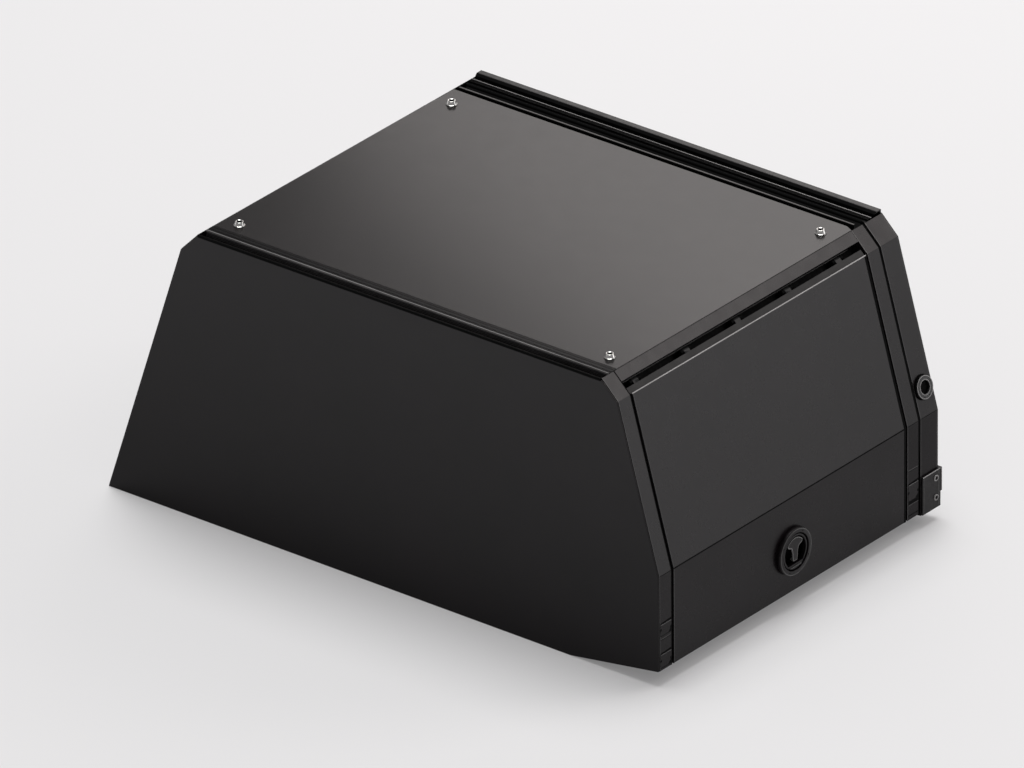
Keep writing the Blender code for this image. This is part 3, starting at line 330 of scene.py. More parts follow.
class Palette:
    """One material for each finish of the canopy."""

    side_black: Colour = (0.0058, 0.0041, 0.0050)

    def __init__(self) -> None:
        """Build every finish once."""
        black = self.side_black
        # The front, side, door and hatch coats carry painted shade at their foot: lower gloss there
        # darkens the lower part.
        self.front = PowderCoat("front_powder_coat", (0.0036, 0.0022, 0.0030), 0.32, 0.04,
                                0.30, 0.15, (0.0, 0.70)).material()
        self.side = PowderCoat("side_powder_coat", black, 0.28, 0.03, 0.36, 0.13).material()
        self.door = PowderCoat("door_powder_coat", black, 0.28, 0.03, 0.34, 0.14).material()
        self.hatch = PowderCoat("hatch_powder_coat", (0.0052, 0.0036, 0.0044), 0.28, 0.03,
                                0.30, 0.10).material()
        self.plain = PowderCoat("plain_powder_coat", black, 0.28, 0.03, 0.30).material()
        self.roof = PowderCoat("roof_powder_coat", (0.0056, 0.0042, 0.0042), 0.20, 0.01,
                               0.45).material()
        # Painted light: a grey that stands for the light on the cap rail's ribbed riser.
        self.step = PowderCoat("painted_light_riser_coat", (0.1100, 0.1050, 0.1070), 0.34, 0.03,
                               0.20).material()
        self.deck = PowderCoat("cap_rail_coat", (0.0040, 0.0039, 0.0040), 0.30, 0.02,
                               0.10).material()
        self.rail = PowderCoat("rail_powder_coat", (0.0040, 0.0040, 0.0040), 0.30, 0.02,
                               0.08).material()
        # Painted highlight: a pale glossy coat for thin strips along lit edges, folds and rims, and
        # for the bracket's screw heads.
        self.bright = PowderCoat("painted_highlight_coat", (0.2700, 0.2600, 0.2580), 0.22, 0.02,
                                 0.90).material()
        # Painted light: the strip's top is coated lighter than the black rail, standing in for the
        # light on it.
        self.brushed = BrushedCoat("painted_light_strip_coat", (0.0300, 0.0292, 0.0286)).material()
        # Painted highlights, dimmer: thin strips along lit edges, the latch's rim and the handle's
        # pull.
        self.edge = PowderCoat("painted_edge_highlight_coat", (0.0750, 0.0735, 0.0725), 0.24, 0.02,
                               0.70).material()
        # Painted highlights, faint: fine lines along the lit edges of pillars, door, hatch and
        # bracket.
        self.line = PowderCoat("painted_line_highlight_coat", (0.0340, 0.0332, 0.0328), 0.24, 0.02,
                               0.60).material()
        self.inner = PowderCoat("inner_powder_coat", (0.0110, 0.0108, 0.0110), 0.50, 0.07,
                                0.30).material()
        self.leaf = PowderCoat("leaf_powder_coat", (0.0060, 0.0059, 0.0060), 0.34, 0.03,
                               0.22).material()
        self.hardware = MouldedBlack("latch_black", (0.0060, 0.0047, 0.0054), 0.34,
                                     0.18).material()
        # Painted light: a lighter, glossier copy of the latch black for the raised bar and the lock
        # ring's face.
        self.raised = MouldedBlack("painted_light_raised_black", (0.0140, 0.0138, 0.0140), 0.26,
                                   0.45).material()
        # Painted shade: a near-black laid in gaps, creases, sockets, wells and grooves, and on
        # parts that sit in shade, where only shade falls.
        self.painted_shade = MouldedBlack("painted_shade_black", (0.0012, 0.0012, 0.0012), 0.50,
                                   0.03).material()
        self.steel = PolishedSteel("bolt_steel", (0.80, 0.79, 0.77)).material()
        self.rubber = DoorRubber("seal_rubber", (0.0060, 0.0060, 0.0062)).material()


# Making and dressing pieces

# The smallest angle in degrees that counts as a corner
CORNER = 28.0


class Plane(Enum):
    """The two world axes that an outline's numbers are measured along, and its normal."""

    YZ = (1, 2, 0)
    XZ = (0, 2, 1)


def body_of_node(node: str) -> str:
    """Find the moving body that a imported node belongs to.

    Args:
        node: the node's name.

    Returns:
        The body's name.
    """
    bodies = frame["record"]["behaviour"]["bodies"]
    return next(body for body, members in bodies.items() if node in members)


def polar(radius: float, angle: float, middle: Point = (0.0, 0.0)) -> Point:
    """Give the point at a radius and an angle in degrees round a middle."""
    return (middle[0] + radius * cos(radians(angle)), middle[1] + radius * sin(radians(angle)))


def circle(radius: float, steps: int = 64, middle: Point = (0.0, 0.0)) -> Outline:
    """Give the closed outline of a circle with so many steps."""
    return [polar(radius, 360.0 * i / steps, middle) for i in range(steps)]


def sweep(radius: float, start: float, end: float, middle: Point = (0.0, 0.0),
          steps: int = 10) -> Outline:
    """Give the points of an arc.

    Args:
        radius: its radius.
        start: its first angle in degrees.
        end: its last angle in degrees.
        middle: its centre.
        steps: how many steps it is cut into.

    Returns:
        The open line of points.
    """
    return [polar(radius, start + (end - start) * i / steps, middle) for i in range(steps + 1)]


def rectangle(left: float, low: float, right: float, high: float) -> Outline:
    """Give the outline of a rectangle between two corners."""
    return [(left, low), (right, low), (right, high), (left, high)]


def slab(loops: list[Outline], start: float, end: float, plane: Plane) -> Mesh:
    """Fill an outline, with the later loops as its holes, and give it a thickness.

    Args:
        loops: the outer outline and any holes, measured in the plane.
        start: where the slab starts along the plane's own normal.
        end: where it ends.
        plane: the plane of the outline.

    Returns:
        The closed mesh.
    """
    across, up, deep = plane.value
    bm = bmesh.new()
    for loop in loops:
        ring = []
        for u, v in loop:
            place = Vector()
            place[across], place[up], place[deep] = u, v, start
            ring.append(bm.verts.new(place))
        for first, second in zip(ring, ring[1:] + ring[:1]):
            bm.edges.new((first, second))
    bmesh.ops.triangle_fill(bm, use_beauty=True, edges=bm.edges)
    bmesh.ops.dissolve_limit(bm, angle_limit=radians(0.5), verts=bm.verts, edges=bm.edges)
    made = bmesh.ops.extrude_face_region(bm, geom=bm.faces[:])
    step = Vector()
    step[deep] = end - start
    raised = [item for item in made["geom"] if isinstance(item, bmesh.types.BMVert)]
    bmesh.ops.translate(bm, vec=step, verts=raised)
    return bm


def lathe(profile: Outline, steps: int = 64) -> Mesh:
    """Turn a profile of (height, radius) points round the X axis.

    Args:
        profile: the points, from axis to axis.
        steps: how many steps the turn has.

    Returns:
        The closed mesh.
    """
    bm = bmesh.new()
    verts = [bm.verts.new((height, radius, 0.0)) for height, radius in profile]
    edges = [bm.edges.new(pair) for pair in zip(verts, verts[1:])]
    bmesh.ops.spin(bm, geom=verts + edges, axis=(1.0, 0.0, 0.0), cent=(0.0, 0.0, 0.0),
                   angle=2.0 * pi, steps=steps, use_duplicate=False)
    bmesh.ops.remove_doubles(bm, verts=bm.verts, dist=0.000005)
    return bm


def merge(first: Mesh, second: Mesh) -> Mesh:
    """Put the second mesh into the first one and free it.

    Args:
        first: the mesh that is kept.
        second: the mesh that goes into it.

    Returns:
        The first mesh, with both in it.
    """
    loose = bpy.data.meshes.new("loose")
    second.to_mesh(loose)
    second.free()
    first.from_mesh(loose)
    bpy.data.meshes.remove(loose)
    return first


def put(name: str, data: bpy.types.ID) -> Piece:
    """Add an object to the scene.

    Args:
        name: the object's name.
        data: its mesh, lamp or camera.

    Returns:
        The new object.
    """
    placed = bpy.data.objects.new(name, data)
    bpy.context.scene.collection.objects.link(placed)
    return placed


def new_piece(name: str, bm: Mesh, seat: Matrix | None = None, sharp: float = CORNER) -> Piece:
    """Turn a bmesh into an object with outward faces, soft curves and sharp corners.

    Args:
        name: the object's name.
        bm: the mesh data, which is freed.
        seat: the frame that the mesh was measured in, where it isn't the shared one.
        sharp: the smallest angle in degrees that counts as a corner.

    Returns:
        The new object.
    """
    if seat is not None:
        bm.transform(seat)
    bmesh.ops.recalc_face_normals(bm, faces=bm.faces)
    for face in bm.faces:
        face.smooth = True
    for edge in bm.edges:
        edge.smooth = len(edge.link_faces) == 2 and edge.calc_face_angle() < radians(sharp)
    mesh = bpy.data.meshes.new(name)
    bm.to_mesh(mesh)
    bm.free()
    return put(name, mesh)


def round_edges(piece: Piece, width: float, limit: float, segments: int) -> None:
    """Round a piece's corners and keep its flat faces flat.

    Args:
        piece: the piece.
        width: the bevel's width in metres.
        limit: the smallest angle in degrees that is rounded.
        segments: how many steps the bevel has.
    """
    bevel = piece.modifiers.new("Rounding", "BEVEL")
    bevel.width = width
    bevel.segments = segments
    bevel.limit_method = "ANGLE"
    bevel.angle_limit = radians(limit)
    bevel.miter_outer = "MITER_ARC"
    for edge in piece.data.edges:
        edge.use_edge_sharp = False
    flat = piece.modifiers.new("Flat", "WEIGHTED_NORMAL")
    flat.mode = "FACE_AREA"
    flat.weight = 100


def make(name: str, bm: Mesh, finish: Finish, node: str,
         seat: Matrix | None = None, sharp: float = CORNER, width: float = 0.0,
         segments: int = 3) -> Piece:
    """Make one piece, with its finish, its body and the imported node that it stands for.

    Args:
        name: the piece's name.
        bm: its mesh, which is freed.
        finish: its material.
        node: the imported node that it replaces.
        seat: the frame that the mesh was measured in, where it isn't the shared one.
        sharp: the smallest angle in degrees that counts as a corner.
        width: how far its corners are rounded, 0 for not at all.
        segments: how many steps the rounding has.

    Returns:
        The piece.
    """
    piece = new_piece(name, bm, seat, sharp)
    if width > 0.0:
        round_edges(piece, width, sharp, segments)
    piece.data.materials.append(finish)
    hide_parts(node)
    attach(piece, body_of_node(node))
    return piece


@dataclass
class NodeSheet:
    """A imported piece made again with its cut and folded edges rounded."""

    node: str
    finish: Finish
    slot: Slot = Slot.PANEL
    width: float = 0.0010
    limit: float = 12.0

    def build(self) -> Piece:
        """Rebuild the node's flat faces, round them and put them in its place."""
        bm = bmesh.new()
        bm.from_mesh(frame["nodes"][self.node].data)
        bmesh.ops.remove_doubles(bm, verts=bm.verts, dist=0.000002)
        bmesh.ops.dissolve_limit(bm, angle_limit=radians(0.4), verts=bm.verts, edges=bm.edges)
        return make(self.node + "_sheet", bm, self.finish, self.node,
                    sharp=self.limit, width=self.width)


@dataclass
class Bar:
    """A profile in the YZ plane that runs across the canopy."""

    name: str
    profile: Outline
    left: float
    right: float
    finish: Finish
    node: str
    width: float = 0.0003

    def build(self) -> Piece:
        """Run the profile from its left end to its right end."""
        bm = slab([self.profile], self.left, self.right, Plane.YZ)
        return make(self.name, bm, self.finish, self.node, sharp=20.0,
                    width=self.width, segments=2)


# Lines of the canopy's cross-section

FRONT_Y = -0.535
REAR_Y = 0.5225
ROOF_TOP = 0.749
LEFT_EDGE = -0.5415
RIGHT_EDGE = 0.649

# How far a fine line and a crease's strip stand out from their sheet and reach into it
LINE_PROUD = 0.00015
CREASE_PROUD = 0.0002
LINE_ROOT = 0.0006


def seat_at(axes: tuple[Vector, Vector, Vector], place: Vector) -> Matrix:
    """Give the frame with three axes and an origin.

    Args:
        axes: the frame's own X, Y and Z.
        place: its origin.

    Returns:
        The frame's matrix.
    """
    matrix = Matrix.Identity(4)
    for i, column in enumerate((*axes, place)):
        matrix.col[i][:3] = column
    return matrix


@dataclass(frozen=True)
class SideLine:
    """The outer line of one side, from its foot to the roof edge, and which way is inward."""

    name: str
    inward: float
    path: tuple[Point, ...]

    @property
    def creased(self) -> bool:
        """Tell whether the side has a vertical foot below a crease."""
        return len(self.path) == 4

    @property
    def foot(self) -> float:
        """Give the height of the side's foot."""
        return self.path[0][1]

    def frame_at(self, z: float, y: float, proud: float = 0.0) -> Matrix:
        """Give the frame on the side's wall at a height: X outward and Z up the slope.

        Args:
            z: the height.
            y: the place along the canopy.
            proud: how far out from the wall.

        Returns:
            The frame's matrix.
        """
        low, high = next(pair for pair in zip(self.path, self.path[1:]) if z <= pair[1][1])
        run, rise = high[0] - low[0], high[1] - low[1]
        length = hypot(run, rise)
        out = Vector((rise * self.inward, 0.0, -run * self.inward)) / length
        up = Vector((run, 0.0, rise)) / length
        x = low[0] + run * (z - low[1]) / rise
        return seat_at((out, up.cross(out), up), Vector((x, y, z)) + out * proud)

    def skin(self, line: Outline, proud: float, start: float, end: float) -> Mesh:
        """Make a thin skin over part of the side's line.

        Args:
            line: the part of the line that it covers.
            proud: how far it stands out from the side.
            start: its front end behind the front wall's face.
            end: its rear end.

        Returns:
            The skin's mesh.
        """
        outer = moved(line, proud * self.inward)
        inner = moved(line, -LINE_ROOT * self.inward)
        return slab([outer + inner[::-1]], FRONT_Y + start, FRONT_Y + end, Plane.XZ)


RIGHT = SideLine("right", 1.0, ((0.814, 0.040), (0.814, 0.286), (0.697, 0.702),
                                (0.649, 0.749)))
LEFT = SideLine("left", -1.0, ((-0.826, 0.0), (-0.5936, 0.6955), (-0.5415, 0.749)))


def moved(line: Outline, distance: float) -> Outline:
    """Move an open line to its right by a distance, with mitred corners.

    Args:
        line: the points.
        distance: how far it moves.

    Returns:
        The moved points.
    """
    ways = [Vector((b[0] - a[0], b[1] - a[1])).normalized() for a, b in zip(line, line[1:])]
    made = []
    for i, point in enumerate(line):
        before, after = ways[max(0, i - 1)], ways[min(i, len(ways) - 1)]
        first, second = Vector((before.y, -before.x)), Vector((after.y, -after.x))
        mitre = (first + second) / (1.0 + first.dot(second))
        made.append((point[0] + mitre.x * distance, point[1] + mitre.y * distance))
    return made


@dataclass
class Assembly(ABC):
    """A sub-assembly of the canopy, which takes its finishes from the palette."""

    palette: Palette

    @abstractmethod
    def build(self) -> list[Piece]:
        """Build the sub-assembly's pieces."""


@dataclass
class SideAssembly(Assembly):
    """A sub-assembly that both sides have, each on its own line."""

    line: SideLine

    def node(self, part: str) -> str:
        """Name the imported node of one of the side's parts."""
        return f"{self.line.name}_{part}"

    def edge_line(self, name: str, place: float, part: str, finish: Finish,
                  width: float, points: int | None = None) -> Piece:
        """Run a fine line up the side's own line.

        Args:
            name: what the line is called.
            place: how far behind the front wall's face it starts.
            part: the side's part that it belongs to.
            finish: its material.
            width: its width.
            points: how many of the side's points it follows, all of them if None.

        Returns:
            The line.
        """
        path = list(self.line.path[:points])
        bm = self.line.skin(path, LINE_PROUD, place, place + width)
        return make(self.node(name) + "_edge", bm, finish, self.node(part))

    def crease_line(self, part: str, start: float, end: float, reach: float) -> list[Piece]:
        """Lay a thin strip of painted shade along the side's crease, where it has one.

        Args:
            part: the side's part that it belongs to.
            start: its front end behind the front wall's face.
            end: its rear end.
            reach: how far it reaches to each side of the crease.

        Returns:
            The strip, or nothing.
        """
        if not self.line.creased:
            return []
        fold, head = self.line.path[1:3]
        up = Vector((head[0] - fold[0], head[1] - fold[1])).normalized() * reach
        path = [(fold[0], fold[1] - reach), fold, (fold[0] + up.x, fold[1] + up.y)]
        bm = self.line.skin(path, CREASE_PROUD, start, end)
        return [make(self.node(part) + "_crease", bm, self.palette.painted_shade,
                     self.node(part))]


# Front wall and the rail over it


@dataclass
class Front(Assembly):
    """Flat front sheet and the ribbed rail behind its top edge."""

    rail_start: float = 0.0043
    riser: float = 0.0305
    foot: float = 0.7245
    shelf: float = 0.7275
    crown: float = 0.7500
    seat_drop: float = 0.0040
    rib_pitch: float = 0.0037
    rib_depth: float = 0.0006
    ribs: int = 4
    channel: float = 0.0036
    turned: float = 0.0070
    turned_depth: float = 0.0044
    back: float = 0.0600
    end_gap: float = 0.0008
    turned_gap: float = 0.0005
    nose_trim: float = 0.0010

    def build(self) -> list[Piece]:
        """Build the wall and the rail's strips."""
        made = [NodeSheet("front_wall", self.palette.front, width=0.0012).build()]
        # A strip of painted shade along the wall's top edge, under the rail.
        made.append(Bar("front_wall_top_shade", self.top_shade(), LEFT_EDGE + self.turned_gap,
                        RIGHT_EDGE - self.turned_gap, self.palette.painted_shade, "front_wall",
                        0.0001).build())
        return made + [bar.build() for bar in self.rail_bars()]

    def rail_bars(self) -> list[Bar]:
        """Shape the rail's ribbed body in painted light, the painted shade in its channel, its nose
        with a painted highlight, its flat top and its rear strip.
        """
        palette = self.palette
        # Name, start and end behind the front wall, drop below the crown, and finish
        strips = (("top", 0.0345, 0.0400, 0.0013, palette.rail),
                  ("line", 0.0406, 0.0420, 0.0011, palette.roof),
                  ("step", 0.0426, 0.0518, 0.0009, palette.deck),
                  ("edge", 0.0526, self.back, 0.0010, palette.deck))
        # The body is painted light on the riser, the shade strip painted shade, the nose a painted
        # highlight.
        # Name, outline, finish and how far the corners are rounded
        parts = [("body", self.body(), palette.step, 0.0002),
                 ("shade", self.shade(), palette.painted_shade, 0.0001)]
        parts += [(f"rib_{i + 1}", self.rib(i), palette.rail, 0.0001) for i in range(self.ribs)]
        parts.append(("nose", self.strip(0.0313, 0.0333, 0.0, 0.0004), palette.bright, 0.0003))
        parts += [(name, self.strip(start, end, drop), finish, 0.0003)
                  for name, start, end, drop, finish in strips]
        left, right = LEFT_EDGE + self.end_gap, RIGHT_EDGE - self.end_gap
        return [Bar(f"cap_rail_{name}", outline, left,
                    right - (self.nose_trim if name == "nose" else 0.0), finish,
                    "front_cap_rail", width) for name, outline, finish, width in parts]

    def body(self) -> Outline:
        """Outline of the body: foot, riser and the seat of the strips."""
        start, riser, back = (FRONT_Y + y for y in (self.rail_start, self.riser, self.back))
        seat = self.crown - self.seat_drop
        return [(start, self.foot), (start, self.shelf), (riser, self.shelf), (riser, seat),
                (back, seat), (back, self.foot)]

    def top_shade(self) -> Outline:
        """Outline of the painted shade strip along the top of the wall, at its turned edge."""
        face = FRONT_Y - LINE_PROUD
        return rectangle(face, ROOF_TOP - self.turned, face + self.turned_depth,
                         ROOF_TOP + 0.0001)

    def shade(self) -> Outline:
        """Outline of the painted shade in the channel over the foot, in front of the riser."""
        start, riser = FRONT_Y + self.rail_start + 0.0002, FRONT_Y + self.riser
        floor, rise = self.shelf + 0.0003, self.shelf + self.channel
        return [(start, floor - 0.0006), (start, floor), (riser - 0.0004, floor),
                (riser - 0.0004, rise), (riser + 0.0004, rise), (riser + 0.0004, floor - 0.0006)]

    def rib(self, number: int) -> Outline:
        """Outline of one of the riser's ribs, counted from the lowest."""
        riser = FRONT_Y + self.riser
        z = self.shelf + self.channel + self.rib_pitch * (number + 0.75)
        return [(riser + 0.0005, z - 0.0008), (riser - self.rib_depth, z - 0.0004),
                (riser - self.rib_depth, z + 0.0004), (riser + 0.0005, z + 0.0008)]

    def strip(self, start: float, end: float, drop: float, cut: float = 0.0003) -> Outline:
        """Outline of one strip of the rail's top.

        Args:
            start: where it starts behind the front wall's face.
            end: where it ends.
            drop: how far its upper level is below the crown.
            cut: how far its upper corners are cut.

        Returns:
            The closed outline.
        """
        top, low = self.crown - drop, self.crown - self.seat_drop - 0.0001
        first, last = FRONT_Y + start, FRONT_Y + end
        return [(first, low), (first, top - cut), (first + cut, top), (last - cut, top),
                (last, top - cut), (last, low)]


# Roof


@dataclass
class Roof(Assembly):
    """Flat roof plate with four bright cap bolts."""

    bolt_places: tuple[Point, ...] = ((-0.4935, -0.4395), (-0.4935, 0.351), (0.601, -0.4395),
                                      (0.601, 0.351))
    bolt_seat: float = 0.0003
    skirt: float = 0.0135
    waist: float = 0.0118
    crown: float = 0.0100
    rim: float = 0.0016
    socket: float = 0.0062
    socket_floor: float = 0.0048
    height: float = 0.0113

    def build(self) -> list[Piece]:
        """Build the plate and its bolts."""
        made = [NodeSheet("roof_panel", self.palette.roof).build()]
        for i, place in enumerate(self.bolt_places):
            made += self.bolt(f"roof_bolt_{i + 1}", place)
        return made

    def bolt(self, node: str, place: Point) -> list[Piece]:
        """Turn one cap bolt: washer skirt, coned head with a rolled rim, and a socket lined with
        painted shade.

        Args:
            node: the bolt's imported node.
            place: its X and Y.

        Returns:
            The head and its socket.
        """
        top, floor, hole = self.height, self.socket_floor, self.socket
        head = [(0.0, 0.0), (0.0, self.skirt - 0.0003), (0.0005, self.skirt),
                (0.0019, self.skirt), (0.0024, self.skirt - 0.0005),
                (0.0026, self.waist + 0.0003), (0.0032, self.waist)]
        head += [(top - self.rim + self.rim * sin(radians(a)),
                  self.crown - self.rim + self.rim * cos(radians(a))) for a in range(15, 91, 15)]
        head += [(top, hole + 0.0009), (top - 0.0007, hole), (floor, hole), (floor, 0.0)]
        cup = [(floor + 0.0001, 0.0), (floor + 0.0001, hole - 0.0002),
               (top - 0.0016, hole - 0.0002), (top - 0.0016, hole - 0.0008),
               (floor + 0.0007, hole - 0.0008), (floor + 0.0007, 0.0)]
        seat = Matrix.Translation((*place, ROOF_TOP + self.bolt_seat))
        seat = seat @ Matrix.Rotation(-pi / 2.0, 4, "Y")
        return [make(node + "_head", lathe(head, 48), self.palette.steel, node, seat,
                     40.0),
                make(node + "_socket", lathe(cup, 6), self.palette.painted_shade, node, seat,
                     20.0)]


# Sides


@dataclass(frozen=True)
class Seam:
    """A fine level line over a pillar's foot: a painted highlight on an edge, or painted shade in a
    gap.
    """

    node: str
    middle: float
    rise: float
    width: float
    dark: bool
    reach: float = 0.0185

    def build(self, palette: Palette, line: SideLine, number: int) -> Piece:
        """Lay the line.

        Args:
            palette: the finishes.
            line: the side's line.
            number: the line's number.

        Returns:
            The line's piece.
        """
        seat = line.frame_at(line.foot + self.rise, FRONT_Y + self.middle)
        bm = slab([rectangle(-self.reach, 0.0, self.reach, self.width)], -0.0005, 0.0002,
                  Plane.YZ)
        # Dark seams are painted shade, light ones painted highlights.
        return make(f"{self.node}_seam_{number}", bm, palette.painted_shade if self.dark else palette.line,
                    self.node, seat)


@dataclass(frozen=True)
class Keeper:
    """A block let into a pillar: its flange, its stepped face and the gaps round it in painted
    shade.

    Its window is measured above the side's foot, and the pillar's edges behind the front wall.
    """

    node: str
    low: float
    high: float
    start: float
    end: float
    pillar_margin: float = 0.0070
    flange_margin: float = 0.0030
    front_margin: float = 0.0022
    rear_margin: float = 0.0030
    corner_share: float = 0.30
    proud: float = 0.0010

    def build(self, palette: Palette, line: SideLine) -> list[Piece]:
        """Build the flange, the face and the layers on it.

        Args:
            palette: the finishes.
            line: the side's line.

        Returns:
            The block's pieces.
        """
        half, tall = (self.end - self.start) / 2.0, (self.high - self.low) / 2.0
        seat = line.frame_at(line.foot + (self.low + self.high) / 2.0,
                             FRONT_Y + (self.start + self.end) / 2.0)
        wide, high = half - self.pillar_margin + self.flange_margin, tall + self.flange_margin
        # The flange is painted shade round the block.
        flange = slab([rectangle(-wide, -high, wide, high)], -0.0057, -0.0034, Plane.YZ)
        made = [make(self.node + "_flange", flange, palette.painted_shade, self.node, seat,
                     width=0.0005)]
        for name, shape, low, top, finish in self.layers(palette, half, tall):
            made.append(make(f"{self.node}_{name}", slab([shape], low, top, Plane.YZ), finish,
                             self.node, seat, width=0.0003))
        return made

    def layers(self, palette: Palette, half: float, tall: float
               ) -> list[tuple[str, Outline, float, float, Finish]]:
        """Give the block's layers: the face, and what is drawn on it and round it.

        Args:
            palette: the finishes.
            half: half the pillar's width.
            tall: half the window's height.

        Returns:
            Each layer's name, outline, lower and upper level and finish.
        """
        left, right = self.front_margin - half, half - self.rear_margin
        step = (right - left) * self.corner_share
        face = [(left, -tall), (right - step, -tall), (right, -tall + step), (right, tall),
                (left, tall)]
        gap = [(left, tall - 0.0005), (right + 0.0028, tall - 0.0005),
               (right + 0.0028, tall + 0.0062), (left, tall + 0.0032)]
        foot = [(left, -tall - 0.0024), (right, -tall - 0.0024), (right, -tall + step),
                (right - step, -tall - 0.0002), (left, -tall - 0.0002)]
        brow = rectangle(left + 0.001, tall - 0.0018, right - 0.001, tall - 0.0004)
        front = [(left, -0.004), (left + 0.0045, -0.001), (left + 0.0045, 0.004), (left, 0.004)]
        rear = [(right - 0.0050, -0.006), (right, -0.008), (right, 0.001),
                (right - 0.0050, -0.001)]
        # The gap, foot and notches are painted shade, the brow a painted highlight along the top
        # edge.
        drawn = (("gap", gap, 0.0002, palette.painted_shade), ("foot", foot, 0.0003, palette.painted_shade),
                 ("brow", brow, self.proud + 0.0002, palette.edge),
                 ("notch_a", front, self.proud + 0.0001, palette.painted_shade),
                 ("notch_b", rear, self.proud + 0.0001, palette.painted_shade))
        return [("face", face, -0.0050, self.proud, palette.side)] + [
            (name, shape, top - 0.0008, top, finish) for name, shape, top, finish in drawn]


# The blocks and the fine lines on the creased side's pillars
KEEPERS = (Keeper("right_front_keeper_1", 0.008, 0.042, 0.0043, 0.0500),
           Keeper("right_front_keeper_2", 0.091, 0.120, 0.0043, 0.0500),
           Keeper("right_rear_keeper_1", 0.050, 0.092, 0.9405, 0.9840))
SEAMS = (Seam("right_front_pillar", 0.0272, 0.0810, 0.0014, False),
         Seam("right_front_pillar", 0.0272, 0.0790, 0.0020, True),
         Seam("right_rear_pillar", 0.9623, 0.1290, 0.0014, False),
         Seam("right_rear_pillar", 0.9623, 0.1270, 0.0020, True),
         Seam("right_rear_pillar", 0.9623, 0.0390, 0.0080, True),
         Seam("right_rear_pillar", 0.9623, 0.0376, 0.0012, False),
         Seam("right_rear_pillar", 0.9623, 0.0100, 0.0022, True))


@dataclass
class SideFrame(SideAssembly):
    """Pillars, shoulder band, sill, door stop and seal of one side."""

    keepers: tuple[Keeper, ...] = ()
    seams: tuple[Seam, ...] = ()
    crease_reach: float = 0.0008

    def build(self) -> list[Piece]:
        """Build the side's fixed pieces."""
        palette = self.palette
        front = palette.side if self.line.creased else palette.plain
        rear = palette.hatch if self.line.creased else palette.plain
        sheets = (("front_pillar", front, Slot.PANEL, 0.0008),
                  ("rear_pillar", rear, Slot.PANEL, 0.0008),
                  ("header_rail", palette.side, Slot.PANEL, 0.0007),
                  ("sill", palette.inner, Slot.FRAME),
                  ("door_stop", palette.inner, Slot.FRAME, 0.0006),
                  ("door_seal", palette.rubber, Slot.RUBBER, 0.0015),
                  ("hinge_ears", palette.painted_shade, Slot.HARDWARE, 0.0004, 30.0))
        made = [NodeSheet(self.node(part), *how).build() for part, *how in sheets]
        # The noses are painted highlights along the pillars' edges, the lips painted shade in the
        # gaps beside them.
        # Name, start behind the front wall, pillar, finish and width
        for line in (("front_post_nose", 0.0046, "front_pillar", palette.line, 0.0012),
                     ("front_post_lip", 0.0474, "front_pillar", palette.painted_shade, 0.0026),
                     ("rear_post_nose", 0.9406, "rear_pillar", palette.line, 0.0014),
                     ("rear_post_lip", 0.9818, "rear_pillar", palette.painted_shade, 0.0021)):
            made.append(self.edge_line(*line))
        made += self.crease_line("front_pillar", 0.0058, 0.0472, self.crease_reach)
        made += self.crease_line("rear_pillar", 0.9422, 0.9820, self.crease_reach)
        for keeper in self.keepers:
            made += keeper.build(palette, self.line)
        return made + [seam.build(palette, self.line, i + 1)
                       for i, seam in enumerate(self.seams)]


@dataclass
class SideDoor(SideAssembly):
    """Door skin with its seam line of painted shade, its painted highlight along the top edge and
    its hinge leaf.
    """

    start: float = 0.0555
    end: float = 0.9350
    seam: float = 0.0017
    lip: float = 0.0028
    rear_lip: float = 0.0072
    line_width: float = 0.0013
    edge: float = 0.0016
    edge_gap: float = 0.0012

    def build(self) -> list[Piece]:
        """Build the skin, the leaf and the fine lines on the skin."""
        palette = self.palette
        coat = palette.door if self.line.creased else palette.plain
        made = [NodeSheet(self.node("door_panel"), coat, width=0.0011).build(),
                NodeSheet(self.node("door_leaf"), palette.leaf, Slot.HARDWARE, 0.0005,
                          30.0).build()]
        made += self.crease_line("door_panel", self.start + 0.0006, self.end - 0.0006, self.seam)
        # The lips are painted shade in the gaps at the door's ends, the front edge a painted
        # highlight.
        for name, place, width, finish in (
                ("front_lip", self.start + 0.0001, self.lip, palette.painted_shade),
                ("front_edge", self.start + self.lip + 0.0001, self.line_width, palette.line),
                ("rear_lip", self.end - self.rear_lip - 0.0001, self.rear_lip, palette.painted_shade)):
            made.append(self.edge_line(f"door_{name}", place, "door_panel", finish, width, -1))
        return made + [self.top_edge()]

    def top_edge(self) -> Piece:
        """Run a fine round line of painted highlight along the door's upper fold."""
        fold, drop = self.line.path[-2], self.edge * 0.80
        centre = (fold[0] - self.line.inward * drop, fold[1] - drop * 0.30)
        bm = slab([circle(self.edge, 12, centre)], FRONT_Y + self.start + self.edge_gap,
                  FRONT_Y + self.end - self.edge_gap, Plane.XZ)
        return make(self.node("door_top_edge"), bm, self.palette.bright,
                    self.node("door_panel"), sharp=40.0)


# Round latch: its frame has X outward from the door, Z up the door


